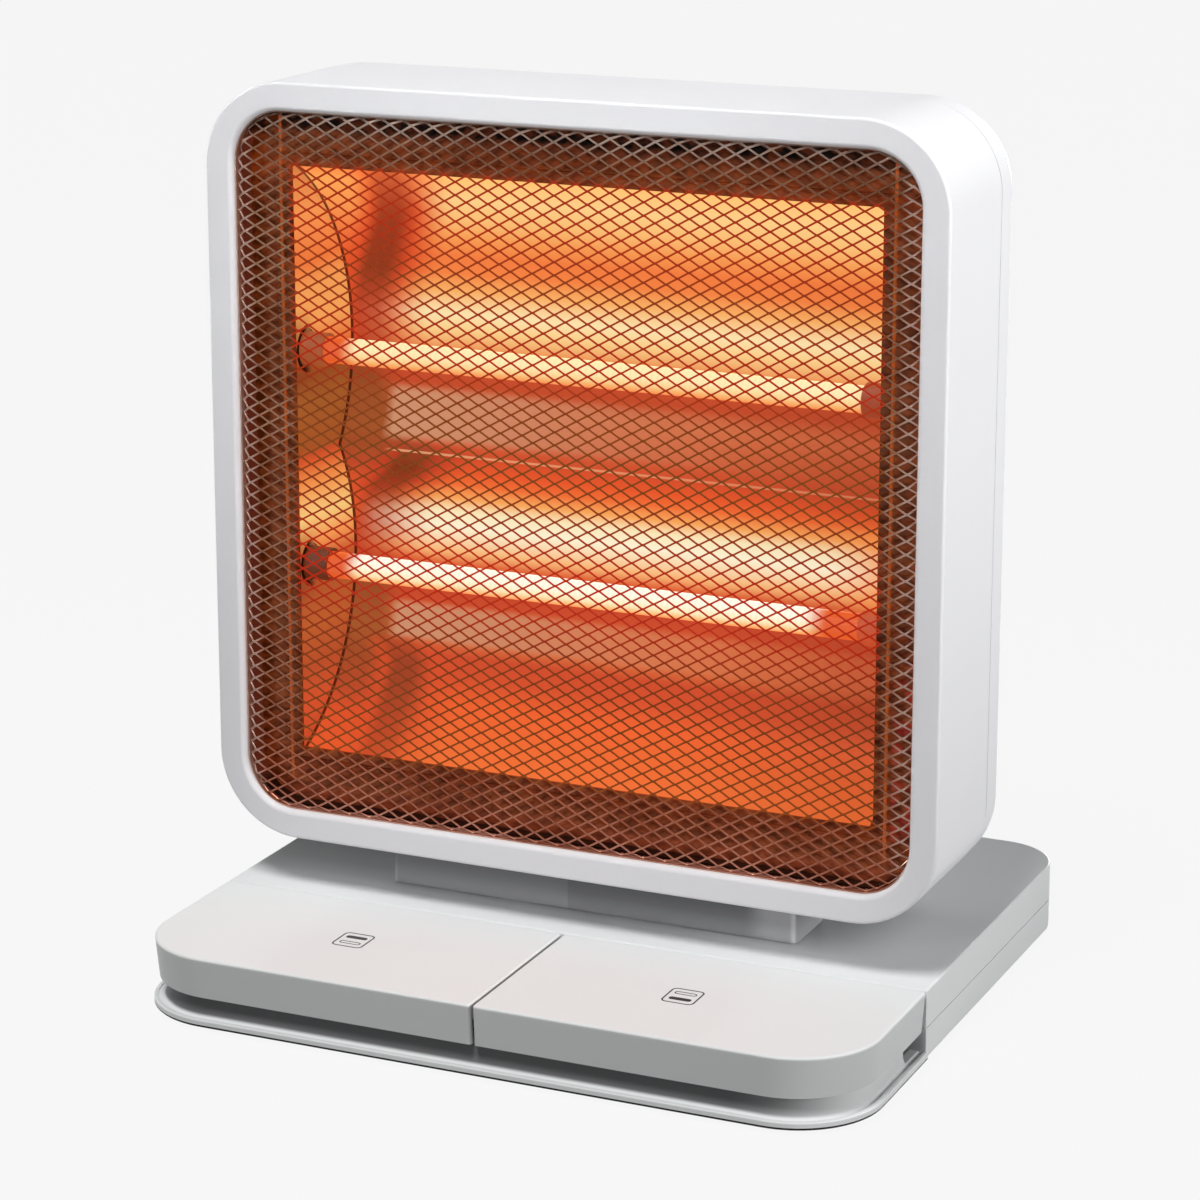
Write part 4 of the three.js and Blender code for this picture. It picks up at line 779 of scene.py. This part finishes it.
def rear_cover():
    inner, front = COVER_INSET + HEAD_WALL, SHELL_DEPTH + COVER_SEAM
    spigot, half_deep = SPIGOT_OUT + SPIGOT_WALL, HEAD_DEPTH - HEAD_WALL / 2
    cover = moulded("rear_shell", head_rect, [
        *reversed(round_out(inner, HEAD_DEPTH - HEAD_WALL - COVER_EDGE, COVER_TAPER, COVER_EDGE)),
        (inner, front + SPIGOT_ROOT),
        (spigot, front + SPIGOT_ROOT),
        (spigot, SHELL_DEPTH - SPIGOT_REACH),
        (SPIGOT_OUT, SHELL_DEPTH - SPIGOT_REACH),
        (SPIGOT_OUT, front),
        (COVER_INSET, front),
        *round_out(COVER_INSET, HEAD_DEPTH - COVER_EDGE, COVER_TAPER, COVER_EDGE),
    ], upright=True)
    floor = HEAD_DEPTH - GRIP_DEPTH
    pocket = grip("pocket", GRIP_WALL, [(0.0, floor - GRIP_WALL), (0.0, half_deep)])
    lip = quarter(lambda a: (-GRIP_LIP * (1 - cos(a)), HEAD_DEPTH - GRIP_LIP * (1 - sin(a))))
    hollow = grip("hollow", 0.0, [
        (GRIP_EDGE, floor), (0.0, floor + GRIP_EDGE), *lip, (-GRIP_LIP, HEAD_DEPTH + OVERRUN),
    ])
    corners = [(sx * HEAD_BOSS, 0.0, sz * HEAD_BOSS) for sx in (-1, 1) for sz in (-1, 1)]
    tower, seat = [(TOWER_RADIUS, SHELL_DEPTH), (TOWER_RADIUS, half_deep)], SHELL_DEPTH + TOWER_FLOOR
    wide = TOWER_BORE + BORE_LIP
    bore = [
        (SCREW_BORE, SHELL_DEPTH - OVERRUN), (SCREW_BORE, seat), (TOWER_BORE, seat),
        (TOWER_BORE, HEAD_DEPTH - BORE_LIP), (wide, HEAD_DEPTH), (wide, HEAD_DEPTH + OVERRUN),
    ]
    towers = repeated("towers", tower, "Y", corners)
    bores = repeated("bores", bore, "Y", corners)
    slots = merged("slots", [
        louvre(column * LOUVRE_SPACING, side * LOUVRE_RISE + row * LOUVRE_PITCH)
        for column in (-1, 0, 1) for side in (-1, 1) for row in LOUVRE_ROWS
    ])
    return to_head(cut(joined(cover, pocket, towers), hollow, bores, slots))


pan_half, pan_corner = bezel_half - GUARD_SIDE_GAP - GUARD_BEND, BEZEL_CORNER - GUARD_SIDE_GAP - GUARD_BEND


def past_pan(x, z):
    """Steps from the middle of the pan's corner, and the distance past the start of its bend."""
    qx, qz = abs(x) - pan_half + pan_corner, abs(z) - pan_half + pan_corner
    return qx, qz, hypot(max(qx, 0), max(qz, 0)) + min(max(qx, qz), 0) - pan_corner


def guard_place(x, z, out, wall):
    """A point of the flat mesh laid on the guard's pan, whose edges bend back; out is towards the viewer."""
    side_x, side_z = copysign(1, x), copysign(1, z)
    qx, qz, away = past_pan(x, z)
    if away <= 0:
        return x, GUARD_FRONT + wall - out, z
    if qx > 0 and qz > 0:
        length = hypot(qx, qz)
        nx, nz = side_x * qx / length, side_z * qz / length
    else:
        nx, nz = (side_x, 0.0) if qx > qz else (0.0, side_z)
    bend = GUARD_BEND - wall
    angle = min(away / bend, pi / 2)
    past = max(away - bend * pi / 2, 0.0)
    reach = bend * sin(angle) + out * sin(angle) - away
    depth = GUARD_FRONT + wall + bend * (1 - cos(angle)) + past - out * cos(angle)
    return x + nx * reach, depth, z + nz * reach


def guard_mesh():
    """Diamond holes in every other place of a grid, joined by strands and by plates between their tips."""
    a, b = DIAMOND_HALF_WIDTH, DIAMOND_HALF_HEIGHT
    tip, rise, flat = HOLE_HALF_WIDTH, HOLE_HALF_HEIGHT, HOLE_FLAT
    columns, rows = int((pan_half + MESH_WRAP) / a) + 1, int((pan_half + MESH_WRAP) / b) + 1
    grid = [(i, j) for i in range(-columns, columns + 1) for j in range(-rows, rows + 1)]
    spots = [(tip, 0.0, 0), (flat, rise, 1), (-flat, rise, 1)]
    spots += [(-x, -z, -lean) for x, z, lean in spots]
    wall = STRAND_SHEET / 2
    points, faces, holes = [], [], {}
    for i, j in grid:
        if (i + j) % 2:
            continue
        holes[i, j] = len(points)
        for x, z, lean in spots:
            for out in (wall, -wall):
                points.append(guard_place(i * a + x, j * b + z, out - lean * STRAND_TILT, wall))

    def at(i, j, spot):
        return holes[i, j] + 2 * (spot % 6)

    def plate(*corners):
        if all(corner[:2] in holes for corner in corners):
            front = [at(*corner) for corner in corners]
            faces.append(tuple(front))
            faces.append(tuple(c + 1 for c in reversed(front)))

    within = [(i, j) for i, j in grid if past_pan(i * a, j * b)[2] < MESH_WRAP - a]
    for i, j in within:
        if (i, j) in holes:
            for spot in range(6):
                p, q = at(i, j, spot), at(i, j, spot + 1)
                faces.append((p, q, q + 1, p + 1))
    for i, j in within:
        if (i, j) in holes:
            plate((i, j, 0), (i + 1, j + 1, 4), (i + 1, j + 1, 3), (i, j, 1))
            plate((i, j, 2), (i - 1, j + 1, 0), (i - 1, j + 1, 5), (i, j, 3))
        else:
            plate((i - 1, j, 0), (i, j - 1, 2), (i, j - 1, 1), (i + 1, j, 3), (i, j + 1, 5), (i, j + 1, 4))
    mesh = made("guard_strands", points, faces)
    hem = moulded("hem", bezel_rect, [
        (SCREEN_OUT, SCREEN_START), (SCREEN_OUT, GUARD_REAR), (GUARD_SIDE_GAP + HEM_SHEET, GUARD_REAR),
        (GUARD_SIDE_GAP + HEM_SHEET, HEM_START), (SCREEN_IN, HEM_START), (SCREEN_IN, SCREEN_START),
    ], upright=True, closed=True)
    return to_head(merged("guard_grille", [mesh, hem]))


def surround():
    def outer_ring(inset, level):
        half = HEAD_HALF - inset
        return [(x, level, z) for x, z in outline(centred(half, half, 0.0), 0.0, HEAD_CORNER - inset)]

    def window_ring(grow, level):
        rect = centred(WINDOW_HALF_WIDTH + grow, WINDOW_HALF_HEIGHT + grow, 0.0)
        return [(x, level, z) for x, z in outline(rect, 0.0, LEAST + max(grow, 0) * BEAD_ROUNDING)]

    inner, back = SURROUND_INSET + SURROUND_SHEET, SURROUND_FRONT + SURROUND_SHEET
    middle = BEAD_OFFSET + BEAD_WIDTH / 2
    rings = [
        outer_ring(inner, SURROUND_REAR),
        outer_ring(SURROUND_INSET, SURROUND_REAR),
        outer_ring(SURROUND_INSET, SURROUND_FRONT + SURROUND_EDGE),
        outer_ring(SURROUND_INSET + SURROUND_EDGE, SURROUND_FRONT),
    ]
    for i in range(BEAD_STEPS + 1):
        t = pi * i / BEAD_STEPS
        rings.append(window_ring(middle + BEAD_WIDTH / 2 * cos(t), SURROUND_FRONT - BEAD_HEIGHT * sin(t)))
    rings += [window_ring(0.0, SURROUND_FRONT), window_ring(0.0, back), outer_ring(inner, back)]
    return to_head(lofted("surround_plate", rings, closed=True, flipped=True))


def trough(grow):
    radius = (TROUGH_HALF ** 2 + TROUGH_DEPTH ** 2) / (2 * TROUGH_DEPTH)
    middle = REFLECTOR_LIP + TROUGH_DEPTH - radius
    radius += grow
    lip, ridge = asin(TROUGH_HALF / radius), asin(TUBE_LEVEL / radius)
    upper = []
    for i in range(TROUGH_STEPS + 1):
        t = -ridge + (ridge + lip) * i / TROUGH_STEPS
        upper.append((middle + radius * cos(t), TUBE_LEVEL + radius * sin(t)))
    return [(y, -z) for y, z in reversed(upper[1:])] + upper


def reflector():
    back = REFLECTOR_LIP + REFLECTOR_SHEET
    flange = WINDOW_HALF_HEIGHT + REFLECTOR_FLANGE
    outer = [p for p in trough(REFLECTOR_SHEET) if p[0] > back]
    section = [
        (back, -flange), (back, outer[0][1]), *outer, (back, outer[-1][1]), (back, flange),
        (REFLECTOR_LIP, flange), *reversed(trough(0.0)), (REFLECTOR_LIP, -flange),
    ]
    half = WINDOW_HALF_WIDTH - FIT
    rings = [[(x, y, z) for y, z in section] for x in (-half, half)]
    return to_head(lofted("reflector_troughs", rings, flipped=True))


def cheek(name, side):
    x0, x1 = WINDOW_HALF_WIDTH, WINDOW_HALF_WIDTH + CHEEK_SHEET
    half = WINDOW_HALF_HEIGHT + REFLECTOR_FLANGE
    plate = box(name, x0, x1, REFLECTOR_LIP, CHEEK_REAR, -half, half)
    flange_rear = REFLECTOR_LIP + CHEEK_SHEET
    flange = box("flange", x1 - CHEEK_SHEET / 2, x1 + CHEEK_FLANGE, REFLECTOR_LIP, flange_rear, -half, half)
    hole = [(CHEEK_HOLE, x0 - OVERRUN), (CHEEK_HOLE, x1 + OVERRUN)]
    holes = repeated("holes", hole, "X", [(0.0, TUBE_Y, level) for level in (-TUBE_LEVEL, TUBE_LEVEL)])
    return to_head(mirrored(cut(joined(plate, flange), holes), side))


def tube(name, level):
    bore = TUBE_RADIUS - QUARTZ_WALL
    profile = [(bore, -TUBE_HALF), (TUBE_RADIUS, -TUBE_HALF), (TUBE_RADIUS, TUBE_HALF), (bore, TUBE_HALF)]
    return to_head(turned(name, profile, "X", (0.0, TUBE_Y, level), closed=True))


def helix(radius, wire, half, turns, steps):
    """A wire wound about X, from -half to half."""
    count = int(turns * steps)
    rings = []
    for i in range(count + 1):
        angle = 2 * pi * turns * i / count
        x = -half + 2 * half * i / count
        ring = []
        for k in range(COIL_SIDES):
            t = 2 * pi * k / COIL_SIDES
            reach = radius + wire * cos(t)
            ring.append((x + wire * sin(t), reach * cos(angle), reach * sin(angle)))
        rings.append(ring)
    return lofted("helix", rings)


def coil(name, level):
    """The heating wire, with a straight lead at each end."""
    wound = helix(COIL_RADIUS, COIL_WIRE, COIL_HALF, 2 * COIL_HALF / COIL_PITCH, COIL_STEPS)
    start, end = COIL_HALF - LEAD_OVERLAP, TUBE_HALF - LEAD_GAP
    profile = [(SHUT, start), (LEAD_RADIUS, start), (LEAD_RADIUS, end), (SHUT, end)]
    leads = [mirrored(turned("lead", profile, "X", sides=LEAD_SIDES), side) for side in (-1, 1)]
    return to_head(shifted(merged(name, [wound, *leads]), 0.0, TUBE_Y, level))


def cap(name, side, level):
    bore, seat, chamfer = TUBE_RADIUS + FIT, CAP_START + CAP_SEAT, CAP_START + CAP_EDGE
    groove, groove_radius = WINDOW_HALF_WIDTH + CHEEK_SHEET, CAP_RADIUS - CAP_GROOVE
    groove_end, pin_end = groove + CAP_GROOVE_WIDTH, CAP_END + CAP_PIN_LENGTH
    profile = [
        (SHUT, seat), (bore, seat), (bore, chamfer), (bore + CAP_EDGE, CAP_START),
        (CAP_RADIUS - CAP_EDGE, CAP_START), (CAP_RADIUS, chamfer), (CAP_RADIUS, groove),
        (groove_radius, groove), (groove_radius, groove_end), (CAP_RADIUS, groove_end),
        (CAP_RADIUS, CAP_END - CAP_REAR_EDGE), (CAP_RADIUS - CAP_REAR_EDGE, CAP_END), (CAP_PIN, CAP_END),
        (CAP_PIN, pin_end - CAP_EDGE), (CAP_PIN - CAP_EDGE, pin_end), (SHUT, pin_end),
    ]
    return to_head(shifted(mirrored(turned(name, profile, "X"), side), 0.0, TUBE_Y, level))


finished(front_housing(), head_white, "head_plastic", "front_housing")
finished(rear_cover(), head_white, "head_plastic", "rear_cover")
finished(guard_mesh(), guard_steel, "guard_steel", "guard_mesh", smooth=False)
finished(surround(), surround_sheet, "surround_sheet", "reflector_surround")
finished(reflector(), reflector_sheet, "reflector_sheet", "reflector")
for side, side_name in ((-1, "left"), (1, "right")):
    sheet = cheek(f"cheek_{side_name}", side)
    finished(sheet, cheek_sheet, "reflector_sheet", f"reflector_cheek_{side_name}")
    for level, level_name in ((TUBE_LEVEL, "upper"), (-TUBE_LEVEL, "lower")):
        name = f"{level_name}_{side_name}"
        finished(cap(f"cap_{name}", side, level), ceramic, "ceramic", f"tube_cap_{name}")
for level, level_name, glow in ((TUBE_LEVEL, "upper", upper_glow), (-TUBE_LEVEL, "lower", lower_glow)):
    finished(tube(f"tube_{level_name}", level), glow, "quartz", f"quartz_tube_{level_name}")
    finished(coil(f"coil_{level_name}", level), glow, "heating_wire", f"heating_coil_{level_name}")


# The neck and the base
def neck():
    rect = centred(NECK_HALF, NECK_DEPTH / 2, NECK_CORNER, 0.0, NECK_FRONT + NECK_DEPTH / 2)
    return moulded("neck_sleeve", rect, [
        (0.0, NECK_BOTTOM), (0.0, NECK_TOP), (NECK_WALL, NECK_TOP), (NECK_WALL, NECK_BOTTOM),
    ], closed=True)


deck_rect = -BASE_HALF, BASE_HALF, SEAM_Y, REAR_Y, (LEAST, LEAST, REAR_CORNER, REAR_CORNER)
full_rect = -BASE_HALF, BASE_HALF, FRONT_Y, REAR_Y, (PEDAL_CORNER, PEDAL_CORNER, REAR_CORNER, REAR_CORNER)
top_edge = round_out(0.0, BASE_TOP - BASE_EDGE, BASE_EDGE, BASE_EDGE)


def bush_bore():
    inner, outer = BUSH_RADIUS + FIT, BUSH_RADIUS + BUSH_FLANGE + FIT
    return turned("bush_bore", [
        (inner, REAR_Y - BASE_WALL - OVERRUN), (inner, REAR_Y - BUSH_SHEET),
        (outer, REAR_Y - BUSH_SHEET), (outer, REAR_Y + OVERRUN),
    ], "Y", (BUSH_X, 0.0, TRAY_SEAM + FIT / 2))


def base_cover():
    bottom, ceiling = TRAY_SEAM + FIT, BASE_TOP - BASE_WALL
    cover = moulded("base_deck", deck_rect, [(0.0, bottom), *top_edge])
    inside = moulded("room", deck_rect, [(BASE_WALL, bottom - OVERRUN), (BASE_WALL, ceiling)])
    y0 = NECK_FRONT + (NECK_DEPTH - PASSAGE_DEPTH) / 2
    y1 = y0 + PASSAGE_DEPTH
    passage = box("passage", -PASSAGE_HALF, PASSAGE_HALF, y0, y1, ceiling - OVERRUN, BASE_TOP + OVERRUN)
    return cut(cover, inside, passage, bush_bore())


def base_tray():
    """A front with a rounded rim and a plinth, and a plain rear, joined behind the pedals."""
    half, foot = BASE_HALF + RIM_LIP + OVERRUN, FOOT + TRAY_FOOT
    start, top = FRONT_Y - OVERRUN, PLINTH_TOP + OVERRUN
    stop_y, behind_y = SEAM_Y - PLINTH_STOP, REAR_Y + OVERRUN
    rim = round_out(-RIM_LIP, RIM_TOP - RIM_ROUND, RIM_ROUND, RIM_ROUND)
    front = moulded("base_floor", full_rect, [
        (TRAY_FOOT - RIM_LIP, FOOT), (-RIM_LIP, foot), *rim,
        (RIM_WIDTH - RIM_LIP, RIM_TOP), (RIM_WIDTH - RIM_LIP, LEDGE_TOP),
        *round_in(PLINTH_INSET, LEDGE_TOP, -COVE_WIDTH, COVE_HEIGHT), (PLINTH_INSET, PLINTH_TOP),
    ])
    wall = PLINTH_INSET + BASE_WALL
    hollow = moulded("hollow", full_rect, [(wall, TRAY_FLOOR), (wall, top)])
    behind = box("behind", -half, half, SEAM_Y, behind_y, FOOT - OVERRUN, top)
    stop = box("stop", -half, half, stop_y, SEAM_Y + OVERRUN, RIM_TOP, top)
    cut(front, hollow, behind, stop)
    rear = moulded("rear", full_rect, [(TRAY_FOOT, FOOT), (0.0, foot), (0.0, TRAY_SEAM)])
    room = moulded("room", full_rect, [(BASE_WALL, TRAY_FLOOR), (BASE_WALL, TRAY_SEAM + OVERRUN)])
    ahead = box("ahead", -half, half, start, stop_y, FOOT - OVERRUN, top)
    above = box("above", -half, half, start, SEAM_Y, TRAY_FLOOR, top)
    cut(rear, room, ahead, above, bush_bore())
    across = BASE_HALF - BASE_WALL / 2
    cross_wall = box("wall", -across, across, SEAM_Y, SEAM_Y + BASE_WALL, TRAY_FLOOR - SINK, TRAY_SEAM)
    recess = [(FOOT_RADIUS + FIT, FOOT - OVERRUN), (FOOT_RADIUS + FIT, FOOT + FOOT_RECESS)]
    tower_top, seat = FOOT + TOWER_HEIGHT, FOOT + TOWER_HEIGHT - TOWER_FLOOR
    tower = [(TOWER_RADIUS, FOOT + SINK), (TOWER_RADIUS, tower_top)]
    bore = [
        (TOWER_BORE, FOOT - OVERRUN), (TOWER_BORE, seat),
        (SCREW_BORE, seat), (SCREW_BORE, tower_top + OVERRUN),
    ]
    recesses = repeated("recesses", recess, "Z", FOOT_PLACES)
    towers = repeated("towers", tower, "Z", SCREW_PLACES)
    bores = repeated("bores", bore, "Z", SCREW_PLACES)
    stem = turned("stem", [(TIP_HOLE, FOOT - OVERRUN), (TIP_HOLE, TRAY_FLOOR + OVERRUN)], "Z", TIP_PLACE)
    return cut(joined(front, rear, cross_wall, towers), recesses, bores, stem)


def about_hinge(name, radius, x, half):
    return turned(name, [(radius, x - half), (radius, x + half)], "X", (0.0, HINGE_Y, HINGE_Z))


def eye(x):
    half, y0, y1 = EYE_WIDTH / 2, HINGE_Y - HINGE_EYE, HINGE_Y + HINGE_EYE
    web = box("web", x - half, x + half, y0, y1, HINGE_Z, PEDAL_UNDER + SINK)
    return joined(about_hinge("eye", HINGE_EYE, x, half), web)


def pedal(name, side):
    near, far, rear = PEDAL_GAP / 2, BASE_HALF, SEAM_Y - SEAM_GAP
    small, bottom = PEDAL_SIDE_CORNER, PEDAL_BOTTOM - OVERRUN
    rect = near, far, FRONT_Y, rear, (small, PEDAL_CORNER, small, small)
    shell = moulded(name, rect, [(0.0, PEDAL_BOTTOM), *top_edge])
    inside = moulded("room", rect, [(BASE_WALL, bottom), (BASE_WALL, PEDAL_UNDER)])
    start, end = rear - 2 * BASE_WALL, near + 2 * BASE_WALL
    behind = box("behind", near + BASE_WALL, far - BASE_WALL, start, SEAM_Y, bottom, PEDAL_REAR_OPENING)
    between = box("between", near - OVERRUN, end, FRONT_Y + BASE_WALL, SEAM_Y, bottom, PEDAL_INNER_OPENING)
    cut(shell, inside, behind, between)
    for vertex in shell.data.vertices:
        x, y, z = vertex.co / MM
        low = max(BASE_TOP - BASE_EDGE - z, 0.0) / (BASE_TOP - BASE_EDGE - PEDAL_BOTTOM)
        vertex.co.x -= PEDAL_LEAN * low * (x - near) / (far - near) * MM
        vertex.co.y += PEDAL_LEAN * low * (rear - y) / (rear - FRONT_Y) * MM
    press = [(PRESS_RADIUS, PRESS_BOTTOM), (PRESS_RADIUS, PEDAL_UNDER + SINK)]
    joined(shell, *[eye(x) for x in EYE_PLACES], turned("boss", press, "Z", (PRESS_X, PRESS_Y)))
    reach = (EYE_WIDTH + OVERRUN) / 2
    cut(shell, *[about_hinge("pin_bore", HINGE_PIN + FIT, x, reach) for x in EYE_PLACES])
    return mirrored(shell, side)


def return_spring(name, side):
    half = (PEDAL_UNDER - TRAY_FLOOR) / 2 - FIT - SPRING_WIRE
    spring = helix(SPRING_RADIUS, SPRING_WIRE, half, SPRING_TURNS, SPRING_STEPS)
    spring.data.transform(Matrix.Rotation(-pi / 2, 4, "Y"))
    spring.name = name
    return shifted(spring, side * PRESS_X, SPRING_Y, (PEDAL_UNDER + TRAY_FLOOR) / 2)


def mark(name, x, y, filled):
    """A rounded outline with two bars across it, one filled and one open."""
    low, high = BASE_TOP - MARK_SINK, BASE_TOP + MARK_RISE

    def plate(rect, line=None):
        profile = [(0.0, low), (0.0, high)]
        if line:
            profile += [(line, high), (line, low)]
        return moulded("plate", rect, profile, closed=bool(line), steps=MARK_STEPS)

    parts = [plate(centred(MARK_HALF_WIDTH, MARK_HALF_DEPTH, MARK_CORNER, x, y), MARK_LINE)]
    for place in (-1, 1):
        corner, line = (MARK_FILLED_CORNER, None) if place == filled else (MARK_OPEN_CORNER, MARK_BAR_LINE)
        rect = centred(MARK_BAR_HALF, MARK_BAR_DEPTH, corner, x, y + place * MARK_BAR_OFFSET)
        parts.append(plate(rect, line))
    return merged(name, parts)


finished(neck(), neck_shaded, "head_plastic", "neck_column")
finished(base_cover(), deck_white, "base_plastic", "base_cover")
finished(base_tray(), tray_white, "base_plastic", "base_tray")
for side, side_name, filled in ((-1, "left", 1), (1, "right", -1)):
    body = f"pedal_{side_name}"
    finished(pedal(f"{body}_shell", side), pedal_white, "base_plastic", body, body=body)
    finished(mark(f"mark_{side_name}", *MARK_PLACES[side_name], filled), ink, body=body)
    spring = return_spring(f"spring_{side_name}", side)
    finished(spring, zinc, "zinc_steel", f"return_spring_{side_name}")
    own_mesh(spring)

# The CAD's own pieces that stay, by the start of their names
kept = {
    zinc: ("tube_clip", "cover_screw", "neck_bracket", "bracket_screw", "hinge_pin", "base_screw"),
    dark_plastic: ("thermal_cutout", "switch_body", "switch_plunger", "tip_switch_body", "tip_plunger",
                   "terminal_block", "cord_bush"),
    rubber: ("foot",),
}
for material, starts in kept.items():
    for name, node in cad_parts.items():
        if name.startswith(starts) and not node.hide_render:
            node.data.materials.clear()
            node.data.materials.append(material)


# The stage
BACKDROP, AMBIENT = 0.93, 0.08
FLOOR_SHARE = 0.91  # share of plain white in the floor; the rest is lit and takes the shadow
FLOOR_HALF = 8000.0
FLOOR_COLOR, FLOOR_VARIANT = "949494", "909090"
CLIP_NEAR, CLIP_FAR = 0.05, 50.0


def lamp(name, place, target, size, energy, spread=180.0):
    data = bpy.data.lights.new(name, "AREA")
    data.shape, data.size, data.energy, data.spread = "DISK", size, energy, radians(spread)
    item = bpy.data.objects.new(name, data)
    item.location = place
    item.rotation_euler = (Vector(target) - Vector(place)).to_track_quat("-Z", "Y").to_euler()
    root.objects.link(item)


def make_floor():
    half = FLOOR_HALF
    corners = [(-half, -half, 0), (half, -half, 0), (half, half, 0), (-half, half, 0)]
    floor = made("floor", corners, [(0, 1, 2, 3)])
    look = Look("floor", FLOOR_COLOR, 0.9, specular=0.0)
    look.tint(FLOOR_COLOR, FLOOR_VARIANT, 0.4)
    glow = look.node("Emission", {"Color": "ffffff"}).outputs[0]
    share = look.seen_directly() * FLOOR_SHARE
    blend = look.node("MixShader", {0: share, 1: look.shader.outputs[0], 2: glow})
    look.put(look.tree.nodes["Material Output"].inputs["Surface"], blend.outputs[0])
    floor.data.materials.append(look.material)


def make_world():
    world = bpy.data.worlds.new("studio")
    bpy.context.scene.world = world
    nodes = Nodes(world)
    nodes.tree.nodes.clear()
    lit = nodes.node("Background", {"Color": (1.0, 1.0, 1.02, 1.0), "Strength": AMBIENT}).outputs[0]
    seen = nodes.node("Background", {"Color": (BACKDROP, BACKDROP, BACKDROP, 1.0)}).outputs[0]
    blend = nodes.node("MixShader", {0: nodes.seen_directly(), 1: lit, 2: seen}).outputs[0]
    nodes.node("OutputWorld", {"Surface": blend})


def make_camera():
    data = bpy.data.cameras.new("camera")
    data.lens, data.sensor_width, data.shift_y = LENS, SENSOR, SHIFT_Y
    data.clip_start, data.clip_end = CLIP_NEAR, CLIP_FAR
    camera = bpy.data.objects.new("camera", data)
    ahead, down = cos(CAMERA_PITCH), sin(CAMERA_PITCH)
    forward = Vector((-sin(CAMERA_YAW) * ahead, cos(CAMERA_YAW) * ahead, -down))
    camera.location = CAMERA_PLACE
    camera.rotation_mode = "QUATERNION"
    camera.rotation_quaternion = forward.to_track_quat("-Z", "Y")
    root.objects.link(camera)
    bpy.context.scene.camera = camera


make_floor()
make_world()
lamp("key", (-0.02, -0.98, 1.9), (0.0, 0.0, 0.2), 0.7, 31.5)
lamp("right", (1.3, -0.1, 0.38), (0.16, 0.0, 0.38), 0.4, 1.7, spread=64)
lamp("left", (-1.3, 0.1, 0.17), (-0.16, 0.0, 0.28), 0.4, 0.6, spread=64)
lamp("front", (-0.25, -1.6, 0.9), (0.0, 0.0, 0.31), 0.3, 0.13, spread=18)
lamp("back", (0.0, 4.0, 0.25), (0.0, 0.03, 0.2), 0.3, 1.1, spread=20)
make_camera()
bpy.context.scene.view_settings.view_transform = "Standard"
